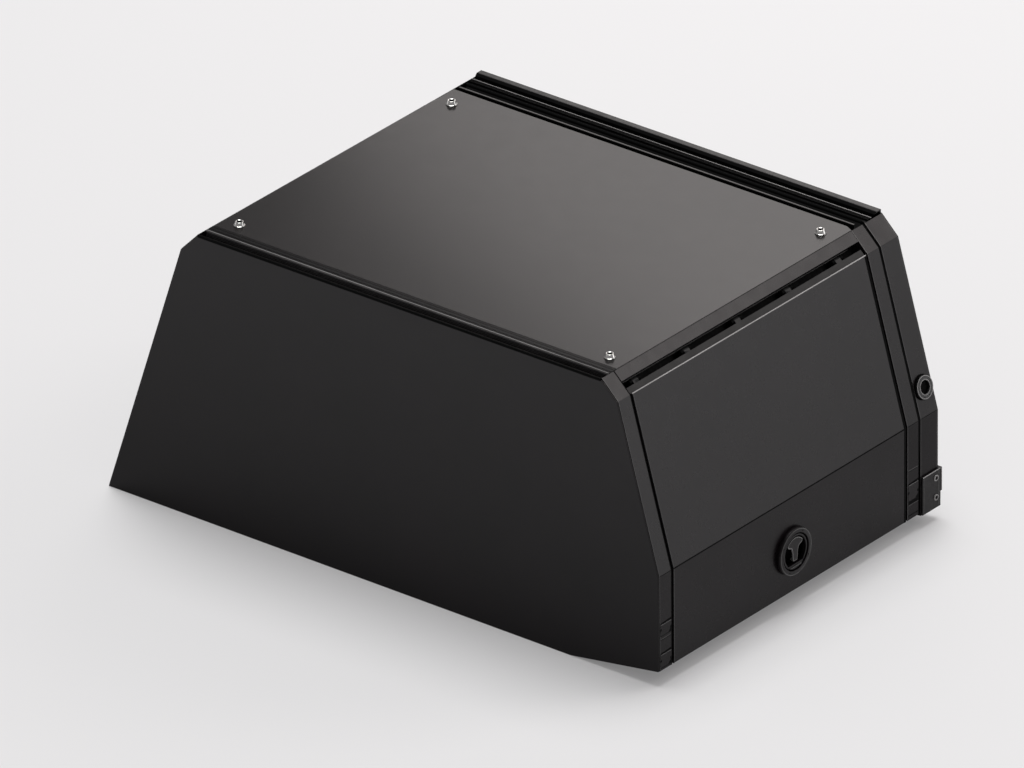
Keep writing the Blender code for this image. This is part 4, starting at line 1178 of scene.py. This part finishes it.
@dataclass
class RoundLatch(SideAssembly):
    """Flat ring, sunk groove, carrier with a D-shaped well, and a folding T-handle."""

    height: float = 0.147
    place: float = -0.033
    rim: float = 0.0600
    face: float = 0.0578
    groove_out: float = 0.0475
    groove_in: float = 0.0440
    groove_floor: float = 0.0030
    well: float = 0.0395
    well_bend: float = 0.0060
    proud: float = 0.0120
    inset: float = 0.0095
    depth: float = -0.0170
    wall: float = 0.0024
    chord: float = -0.0310
    bar: tuple[Point, Point] = ((0.0190, -0.0392), (0.0225, -0.0358))
    stud_angles: tuple[float, ...] = (62.0, 152.0, 242.0, 332.0)
    stud_radius: float = 0.0019
    head: float = 0.0360
    head_angle: float = 50.0
    arm: tuple[Point, ...] = ((0.0002, 0.0200), (0.0012, 0.0168), (0.0050, 0.0146))
    finger: float = 0.0256
    stem: Point = (0.0190, 0.0092)
    stem_foot: tuple[Point, ...] = ((0.0086, -0.0160), (0.0078, -0.0205), (0.0073, -0.0238))
    pull_levels: Point = (0.0052, 0.0092)
    inlay_levels: Point = (0.0080, 0.0096)
    inlay_inset: float = 0.0022
    barrel: Point = (0.0070, 0.0042)
    pivot: Place = (0.0020, 0.0, -0.0205)
    turned_corner: float = 35.0

    def build(self) -> list[Piece]:
        """Build the fixed latch and its handle."""
        seat = self.line.frame_at(self.height, self.place)
        node = self.node("latch_dish")
        made = [make(f"{node}_{name}", bm, finish, node, seat,
                     CORNER if width else self.turned_corner, width)
                for name, bm, finish, width in self.fixed()]
        return made + self.handle(seat)

    def fixed(self) -> list[tuple[str, Mesh, Finish, float]]:
        """Shape the fixed latch's pieces, each with its name, its finish and its rounding."""
        palette = self.palette
        # The rim line is a painted highlight, the groove, cup and studs painted shade, the bar
        # painted light.
        made = [("ring", self.ring(), palette.hardware, 0.0),
                ("rim_line", self.rim_line(), palette.edge, 0.0),
                ("groove", self.groove(), palette.painted_shade, 0.0),
                ("carrier", self.carrier(), palette.hardware, 0.0007),
                ("cup", self.cup(), palette.painted_shade, 0.0),
                ("bar", self.raised_bar(), palette.raised, 0.0007)]
        return made + [(f"stud_{i + 1}", self.stud(angle), palette.painted_shade, 0.0)
                       for i, angle in enumerate(self.stud_angles)]

    def ring(self) -> Mesh:
        """Turn the flat outer ring with its steep dark flank."""
        foot, proud, bore, rim = 0.0003, self.proud, self.groove_out, self.rim
        profile = [(foot, bore), (proud - 0.0008, bore), (proud, bore + 0.0008),
                   (proud, self.face - 0.0012), (proud - 0.0004, self.face),
                   (proud - 0.0016, rim - 0.0008), (proud - 0.0030, rim), (0.0030, rim),
                   (foot, rim - 0.001), (foot, bore)]
        return lathe(profile, 96)

    def rim_line(self) -> Mesh:
        """Lay a painted highlight line round the ring's outer edge."""
        loops = [circle(self.face - 0.0002, 96), circle(self.face - 0.0014, 96)]
        return slab(loops, self.proud - 0.0006, self.proud + 0.00012, Plane.YZ)

    def groove(self) -> Mesh:
        """Turn the sunk floor between the ring and the carrier, in painted shade."""
        outer, inner = self.groove_out - 0.0002, self.groove_in + 0.0002
        foot, floor = 0.0003, self.groove_floor
        return lathe([(foot, outer), (floor, outer), (floor, inner), (foot, inner),
                      (foot, outer)], 72)

    def well_outline(self, margin: float = 0.0) -> Outline:
        """Give the D-shaped outline of the well.

        Args:
            margin: how far it is drawn in.

        Returns:
            The closed outline.
        """
        radius, floor, bend = self.well - margin, self.chord + margin, self.well_bend
        start = -degrees(asin(min(1.0, -(floor + bend) / radius)))
        line = sweep(radius, start, 180.0 - start, steps=40)
        reach = radius * cos(radians(start)) - bend
        corner = sweep(bend, 180.0, 270.0, (-reach, floor + bend), 6)
        other = sweep(bend, 270.0, 360.0, (reach, floor + bend), 6)
        return line + corner[1:] + other[:-1]

    def carrier(self) -> Mesh:
        """Cut the round carrier that stands inside the ring, with the well through it."""
        return slab([circle(self.groove_in, 80), self.well_outline()], 0.0, self.inset, Plane.YZ)

    def cup(self) -> Mesh:
        """Sink the cup of painted shade behind the well."""
        rim = circle(self.groove_in, 72)
        wall = slab([rim, self.well_outline(-0.0003)], self.depth, 0.0, Plane.YZ)
        return merge(wall, slab([rim], self.depth - self.wall, self.depth, Plane.YZ))

    def raised_bar(self) -> Mesh:
        """Lay the raised bar below the well, in painted light."""
        (low_half, low), (high_half, high) = self.bar
        outline = [(-low_half, low), (low_half, low), (high_half, high), (-high_half, high)]
        return slab([outline], self.inset - 0.001, self.inset + 0.0016, Plane.YZ)

    def stud(self, angle: float) -> Mesh:
        """Set one small moulded stud on the ring's face, at an angle in degrees."""
        at = polar((self.groove_out + self.face) / 2.0, angle)
        return slab([circle(self.stud_radius, 16, at)], self.proud - 0.0006,
                    self.proud + 0.00005, Plane.YZ)

    def handle_outline(self, inset: float = 0.0) -> Outline:
        """Outline of the T-handle: arched head, waisted stem between two finger wells.

        Args:
            inset: how far the outline is drawn in.

        Returns:
            The closed outline.
        """
        head = sweep(self.head - inset, 90.0 - self.head_angle, 90.0 + self.head_angle, steps=24)
        side = (self.head - inset) * sin(radians(self.head_angle))
        half = [(side - u - inset / 2.0, w + (0.0 if i == 0 else inset))
                for i, (u, w) in enumerate(self.arm)]
        wide, waist = self.stem
        for i in range(1, 9):
            share = 1.0 - i / 8.0
            reach = wide - (wide - waist) * (1.0 - share ** 2) ** 0.5
            half.append((reach - inset, self.arm[-1][1] - self.finger * (1.0 - share) + inset))
        half += [(u - inset, w) for u, w in self.stem_foot[:-1]]
        half.append((self.stem_foot[-1][0] - inset, self.stem_foot[-1][1] + inset))
        return head + [(-u, w) for u, w in half] + half[::-1]

    def handle(self, seat: Matrix) -> list[Piece]:
        """Build the folding T-handle with its pivot barrel and its inset face."""
        node, palette = self.node("latch_handle"), self.palette
        end, radius = self.barrel
        barrel = lathe([(-end, 0.0), (-end, radius), (end, radius), (end, 0.0)], 24)
        barrel.transform(Matrix.Translation(self.pivot) @ Matrix.Rotation(pi / 2.0, 4, "Z"))
        pull = merge(slab([self.handle_outline()], *self.pull_levels, Plane.YZ), barrel)
        inlay = slab([self.handle_outline(self.inlay_inset)], *self.inlay_levels, Plane.YZ)
        # The pull's coat is a painted highlight that shows along the handle's edges round its inset
        # face.
        return [make(node + "_pull", pull, palette.edge, node, seat,
                     width=0.0010),
                make(node + "_face", inlay, palette.hardware, node, seat,
                     width=0.0005)]


# Rear rails and the hatch


@dataclass
class RearRails(Assembly):
    """Both halves of the rolled hinge, with painted highlights on their edges, painted light on the
    strip's top and ribs of painted shade.
    """

    lip: float = 0.9640
    lip_width: float = 0.0060
    crest: float = 0.7505
    ledge: float = 1.0100
    ledge_top: float = 0.7492
    rib_pitch: float = 0.0021
    rib_width: float = 0.0011
    ribs: int = 4
    bead: float = 1.0190
    bead_width: float = 0.0020
    bead_top: float = 0.7501
    strip: float = 1.0402
    strip_edge: float = 0.0014
    strip_top: float = 0.7570
    fixed_ends: Point = (0.0060, 0.0120)
    moving_ends: Point = (0.0010, 0.0030)
    overlap: float = 0.0001

    def build(self) -> list[Piece]:
        """Build the rails and lay the strips on them."""
        palette = self.palette
        fixed, moving = "rear_roof_rail", "hatch_hinge_rail"
        made = [NodeSheet(fixed, palette.rail, width=0.0003, limit=25.0).build(),
                NodeSheet(moving, palette.rail, width=0.0005, limit=25.0).build()]
        gaps = {fixed: self.fixed_ends, moving: self.moving_ends}
        flat = self.strip + self.strip_edge
        # The bead and the strip's edge are painted highlights, the strip's top painted light, the
        # ribs painted shade.
        bars = [(fixed, "lip", self.lip, self.lip_width, self.crest, 0.0014, palette.roof),
                (moving, "bead", self.bead, self.bead_width, self.bead_top, 0.0008,
                 palette.bright),
                (moving, "strip_top", flat, REAR_Y - FRONT_Y - flat, self.strip_top, 0.0009,
                 palette.brushed),
                (moving, "strip_edge", self.strip, 0.0010, self.strip_top - 0.0002, 0.0004,
                 palette.edge)]
        bars += [(moving, f"rib_{i + 1}", self.ledge + self.rib_pitch * i, self.rib_width,
                  self.ledge_top, 0.0002, palette.painted_shade) for i in range(self.ribs)]
        for node, name, *sizes, finish in bars:
            left, right = gaps[node]
            made.append(Bar(f"{node}_{name}", self.cap(*sizes), LEFT_EDGE + left - self.overlap,
                            RIGHT_EDGE - right + self.overlap, finish, node).build())
        return made

    def cap(self, start: float, width: float, top: float, corner: float) -> Outline:
        """Outline of a thin strip whose top stands just over the rail.

        Args:
            start: where it starts behind the front wall's face.
            width: its width.
            top: its upper level, before the small lift that keeps it proud.
            corner: how far its upper corners are rounded.

        Returns:
            The closed outline.
        """
        first = FRONT_Y + start - self.overlap
        last = FRONT_Y + start + width + self.overlap
        low, bend = top - max(0.0012, corner) - 0.0003, top + LINE_PROUD - corner
        left = sweep(corner, 180.0, 90.0, (first + corner, bend), 4)
        right = sweep(corner, 90.0, 0.0, (last - corner, bend), 4)
        return [(first, low)] + left + right + [(last, low)]


@dataclass
class LockRing(SideAssembly):
    """Round lock ring with a notched face, three small pins and a scalloped bore."""

    height: float = 0.3525
    place: float = 0.4880
    radius: float = 0.0310
    crown: float = 0.0292
    bore: float = 0.0170
    proud: float = 0.0074
    floor: float = 0.0020
    scallop: float = 0.0013
    scallops: int = 8
    notch: float = 0.0020
    notch_angles: Point = (118.0, 136.0)
    notch_half: float = 4.0
    pin_angles: tuple[float, ...] = (20.0, 248.0, 292.0)
    pin_radius: float = 0.0015

    def build(self) -> list[Piece]:
        """Build the base, the face, its painted highlight rims and its pins."""
        seat = self.line.frame_at(self.height, self.place, 0.0003)
        node, palette = self.node("lock_ring"), self.palette
        crown, proud = self.crown, self.proud
        base = lathe([(0.0, 0.0), (0.0, self.radius), (0.0034, self.radius),
                      (0.0042, self.radius - 0.001), (0.0042, crown - 0.001),
                      (self.floor, crown - 0.0015), (self.floor, 0.0)], 72)
        face = slab([self.rim(), self.bore_line()], self.floor, proud, Plane.YZ)
        # The base and pins are painted shade, the face painted light, the rims painted highlights
        # along its edges.
        parts = [("base", base, palette.painted_shade, CORNER, 0.0),
                 ("face", face, palette.raised, 40.0, 0.0006)]
        highlight_rims = ((crown - 0.0010, crown - 0.0024), (self.bore + 0.0020, self.bore + 0.0008))
        for i, radii in enumerate(highlight_rims):
            loops = [circle(radius, 72) for radius in radii]
            parts.append((f"worn_{i + 1}", slab(loops, proud - 0.0006, proud + 0.0001, Plane.YZ),
                          palette.bright, CORNER, 0.0))
        for i, angle in enumerate(self.pin_angles):
            at = polar((crown + self.bore) / 2.0 + 0.001, angle)
            pin = slab([circle(self.pin_radius, 14, at)], proud - 0.0008, proud + 0.00005,
                       Plane.YZ)
            parts.append((f"pin_{i + 1}", pin, palette.painted_shade, 35.0, 0.0))
        return [make(f"{node}_{name}", bm, finish, node, seat, sharp, width)
                for name, bm, finish, sharp, width in parts]

    def rim(self) -> Outline:
        """Outline of the face's rim with its two notches side by side."""
        line = []
        for i in range(144):
            angle = 360.0 * i / 144
            near = min(abs(angle - notch) for notch in self.notch_angles)
            line.append(polar(self.crown - (self.notch if near < self.notch_half else 0.0),
                              angle))
        return line

    def bore_line(self) -> Outline:
        """Outline of the scalloped bore."""
        line = []
        for i in range(96):
            angle = 360.0 * i / 96
            wave = abs(cos(radians(angle) * self.scallops / 2.0)) ** 4
            line.append(polar(self.bore - self.scallop * wave, angle))
        return line


@dataclass
class CornerBracket(SideAssembly):
    """Bracket at the hatch's foot: bent plate, side ribs, boss and two socket screws."""

    foot: float = 0.0335
    start: float = 0.4580
    height: float = 0.1000
    plate: float = 0.0040
    gap: float = 0.0003
    screw_place: float = 0.5090
    screw_rise: Point = (0.028, 0.079)

    def build(self) -> list[Piece]:
        """Build the bent plate, its ribs and its screws."""
        node, palette = self.node("corner_bracket"), self.palette
        made = [NodeSheet(node, palette.hardware, Slot.HARDWARE, 0.0013, 35.0).build()]
        seat = self.line.frame_at(self.foot, 0.0)
        face, top = self.gap + self.plate, self.height - 0.0006
        # These strips are painted highlights along the plate's edges and ribs.
        # Name, start along the canopy, width, lower end and finish
        for name, first, width, low, finish in (
                ("front_edge", self.start + 0.0006, 0.0012, 0.002, palette.line),
                ("front_rib", self.start + 0.0050, 0.0012, 0.004, palette.line),
                ("rear_rib", 0.5185, 0.0014, 0.004, palette.edge),
                ("rear_edge", 0.5302, 0.0018, 0.040, palette.bright),
                ("top_edge", self.start + 0.0006, 0.0672, top - 0.0024, palette.bright)):
            left, right = sorted((self.line.inward * first, self.line.inward * (first + width)))
            bm = slab([rectangle(left, low, right, top)], face - 0.0005, face + 0.0007, Plane.YZ)
            made.append(make(f"{node}_{name}", bm, finish, node, seat,
                             width=0.0004))
        for i, rise in enumerate(self.screw_rise):
            at = seat @ Matrix.Translation((face, self.line.inward * self.screw_place, rise))
            made += self.screw(f"{node}_screw_{i + 1}", node, at)
        return made

    def screw(self, name: str, node: str, seat: Matrix) -> list[Piece]:
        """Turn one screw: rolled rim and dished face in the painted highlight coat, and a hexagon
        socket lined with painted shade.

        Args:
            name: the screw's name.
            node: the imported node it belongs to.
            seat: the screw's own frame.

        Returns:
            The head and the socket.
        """
        head = [(-0.0004, 0.0), (-0.0004, 0.0079), (0.0012, 0.0080), (0.0024, 0.0073),
                (0.0027, 0.0064), (0.0024, 0.0056), (0.0019, 0.0050), (0.0019, 0.0)]
        hexagon = [(0.0012, 0.0), (0.0012, 0.0046), (0.0021, 0.0046), (0.0021, 0.0)]
        return [make(name + "_head", lathe(head, 40), self.palette.bright, node,
                     seat, 45.0),
                make(name + "_socket", lathe(hexagon, 6), self.palette.painted_shade, node,
                     seat, 20.0)]


@dataclass
class RearHatch(Assembly):
    """Rear sheet and the returns at its top and foot."""

    def build(self) -> list[Piece]:
        """Build the hatch's sheets."""
        return [NodeSheet("hatch_panel", self.palette.plain, width=0.0009).build(),
                NodeSheet("hatch_bottom_return", self.palette.hatch, width=0.0009).build(),
                NodeSheet("hatch_top_return", self.palette.inner, Slot.FRAME, 0.0006).build()]


@dataclass
class HatchReturn(SideAssembly):
    """Side wall of the hatch, with painted highlight lines along its edges and painted shade along
    its crease.
    """

    def build(self) -> list[Piece]:
        """Build the wall and its lines."""
        palette = self.palette
        coat = palette.hatch if self.line.creased else palette.plain
        made = [NodeSheet(self.node("hatch_return"), coat, width=0.0009).build()]
        for name, place in (("hatch_front", 0.9907), ("hatch_rear", 1.0526)):
            made.append(self.edge_line(name, place, "hatch_return", palette.line, 0.0013))
        return made + self.crease_line("hatch_return", 0.9922, 1.0524, 0.0008)


@dataclass
class InnerFrame(Assembly):
    """Cross beams and sills that show from below and behind."""

    def build(self) -> list[Piece]:
        """Build the two headers and the two cross sills."""
        return [NodeSheet(node, self.palette.inner, Slot.FRAME).build()
                for node in ("front_header", "rear_header", "front_sill", "rear_sill")]


# Studio and camera


@dataclass(frozen=True)
class Lamp:
    """A soft rectangular lamp that faces a point."""

    name: str
    place: Place
    aim: Place
    size: Point
    watts: float
    roll: float = 0.0
    colour: Colour = (1.0, 1.0, 1.0)

    def build(self) -> Piece:
        """Hang the lamp in the scene."""
        data = bpy.data.lights.new(self.name, "AREA")
        data.shape = "RECTANGLE"
        data.size, data.size_y = self.size
        data.energy = self.watts
        data.color = self.colour
        lamp = put(self.name, data)
        lamp.location = self.place
        facing = Vector(self.aim) - Vector(self.place)
        turn = facing.to_track_quat("-Z", "Y") @ Quaternion((0.0, 0.0, 1.0), radians(self.roll))
        lamp.rotation_euler = turn.to_euler()
        return lamp


@dataclass(frozen=True)
class SkyLamp:
    """A wide, far lamp that shines down evenly towards the origin."""

    name: str
    place: Place
    strength: float
    spread: float

    def build(self) -> Piece:
        """Hang the lamp in the scene."""
        data = bpy.data.lights.new(self.name, "SUN")
        data.energy = self.strength
        data.angle = radians(self.spread)
        lamp = put(self.name, data)
        lamp.location = self.place
        lamp.rotation_euler = (-Vector(self.place)).to_track_quat("-Z", "Y").to_euler()
        return lamp


@dataclass
class Studio:
    """Pale floor, plain world and soft lamps."""

    floor_half: float = 60.0
    floor_drop: float = 0.0005
    floor_colour: Colour = (0.790, 0.785, 0.790)
    shown_colour: Colour = (0.806, 0.799, 0.806)
    shown_share: float = 0.22
    world_colour: Colour = (1.0, 0.985, 0.990)
    world_strength: float = 0.28
    overhead: float = 2.15
    warm: Colour = (1.0, 0.948, 0.930)

    def build(self) -> None:
        """Build the floor, the world and the lamps."""
        self.floor()
        self.world()
        Lamp("rear_lamp", (-2.05, 4.0, 2.80), (-0.2, 0.0, 0.7), (2.6, 1.8), 22.0, -35.0,
             self.warm).build()
        Lamp("shoulder_lamp", (5.4, 7.2, 6.8), (0.7, 0.0, 0.7), (4.8, 4.4), 160.0, 0.0,
             self.warm).build()
        Lamp("side_lamp", (5.9, 5.2, 1.2), (0.75, 0.0, 0.45), (4.3, 2.2), 30.0).build()
        SkyLamp("overhead_lamp", (-1.0, 1.1, 9.0), self.overhead, 38.0).build()

    def floor(self) -> None:
        """Lay the floor, which keeps the object's shadow."""
        bm = bmesh.new()
        bmesh.ops.create_grid(bm, x_segments=1, y_segments=1, size=self.floor_half)
        floor = new_piece("studio_floor", bm)
        floor.location.z = -self.floor_drop
        bench = NodeBench("floor_paint")
        bench.fix("Base Color", (*self.floor_colour, 1.0))
        bench.fix("Roughness", 0.9)
        bench.fix("Specular IOR Level", 0.0)
        shown = bench.add("ShaderNodeEmission")
        shown.inputs["Color"].default_value = (*self.shown_colour, 1.0)
        path = bench.add("ShaderNodeLightPath")
        share = bench.add("ShaderNodeMath", operation="MULTIPLY")
        share.inputs[1].default_value = self.shown_share
        seen = path.outputs["Is Camera Ray"]
        for ray in ("Is Glossy Ray", "Is Transmission Ray"):
            either = bench.add("ShaderNodeMath", operation="MAXIMUM")
            bench.join(seen, either.inputs[0])
            bench.join(path.outputs[ray], either.inputs[1])
            seen = either.outputs["Value"]
        bench.join(seen, share.inputs[0])
        mix = bench.add("ShaderNodeMixShader")
        bench.join(share.outputs["Value"], mix.inputs["Fac"])
        bench.join(bench.shader.outputs["BSDF"], mix.inputs[1])
        bench.join(shown.outputs["Emission"], mix.inputs[2])
        output = bench.tree.nodes["Material Output"]
        bench.join(mix.outputs["Shader"], output.inputs["Surface"])
        floor.data.materials.append(bench.made)

    def world(self) -> None:
        """Set a plain soft world."""
        world = bpy.data.worlds.new("studio_world")
        bpy.context.scene.world = world
        world.use_nodes = True
        soft = world.node_tree.nodes["Background"]
        soft.inputs["Color"].default_value = (*self.world_colour, 1.0)
        soft.inputs["Strength"].default_value = self.world_strength


@dataclass
class PhotoCamera:
    """Long-lens camera at the photograph's angle."""

    azimuth: float = 38.6767
    elevation: float = 27.4356
    roll: float = -0.5226
    distance: float = 48.2488
    target: Place = (-0.34855, 0.38720, 0.04)
    lens: float = 718.03
    sensor: float = 36.0
    reach: Point = (1.0, 200.0)

    def build(self) -> Piece:
        """Set the camera up as the scene's own."""
        az, el, roll = radians(self.azimuth), radians(self.elevation), radians(self.roll)
        back = Vector((sin(az) * cos(el), -cos(az) * cos(el), sin(el)))
        right = Vector((cos(az), sin(az), 0.0))
        up = back.cross(right)
        axes = (right * cos(roll) + up * sin(roll), up * cos(roll) - right * sin(roll), back)
        data = bpy.data.cameras.new("photo_camera")
        data.sensor_width = self.sensor
        data.lens = self.lens
        data.clip_start, data.clip_end = self.reach
        camera = put("photo_camera", data)
        camera.matrix_world = seat_at(axes, Vector(self.target) + back * self.distance)
        bpy.context.scene.camera = camera
        return camera


def main() -> None:
    """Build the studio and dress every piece."""
    logging.basicConfig(level=logging.INFO, format="%(name)s: %(message)s")
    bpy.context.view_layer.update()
    bpy.context.scene.view_settings.view_transform = "Standard"
    PhotoCamera().build()
    Studio().build()
    palette = Palette()
    assemblies: list[Assembly] = [
        Front(palette), Roof(palette), SideFrame(palette, RIGHT, KEEPERS, SEAMS),
        SideFrame(palette, LEFT), SideDoor(palette, RIGHT), SideDoor(palette, LEFT),
        RoundLatch(palette, RIGHT), RoundLatch(palette, LEFT), RearRails(palette),
        RearHatch(palette), HatchReturn(palette, RIGHT), HatchReturn(palette, LEFT),
        LockRing(palette, RIGHT), LockRing(palette, LEFT), CornerBracket(palette, RIGHT),
        CornerBracket(palette, LEFT), InnerFrame(palette),
    ]
    for assembly in assemblies:
        for piece in assembly.build():
            LOG.info("built %s", piece.name)


if __name__ == "__main__":
    main()
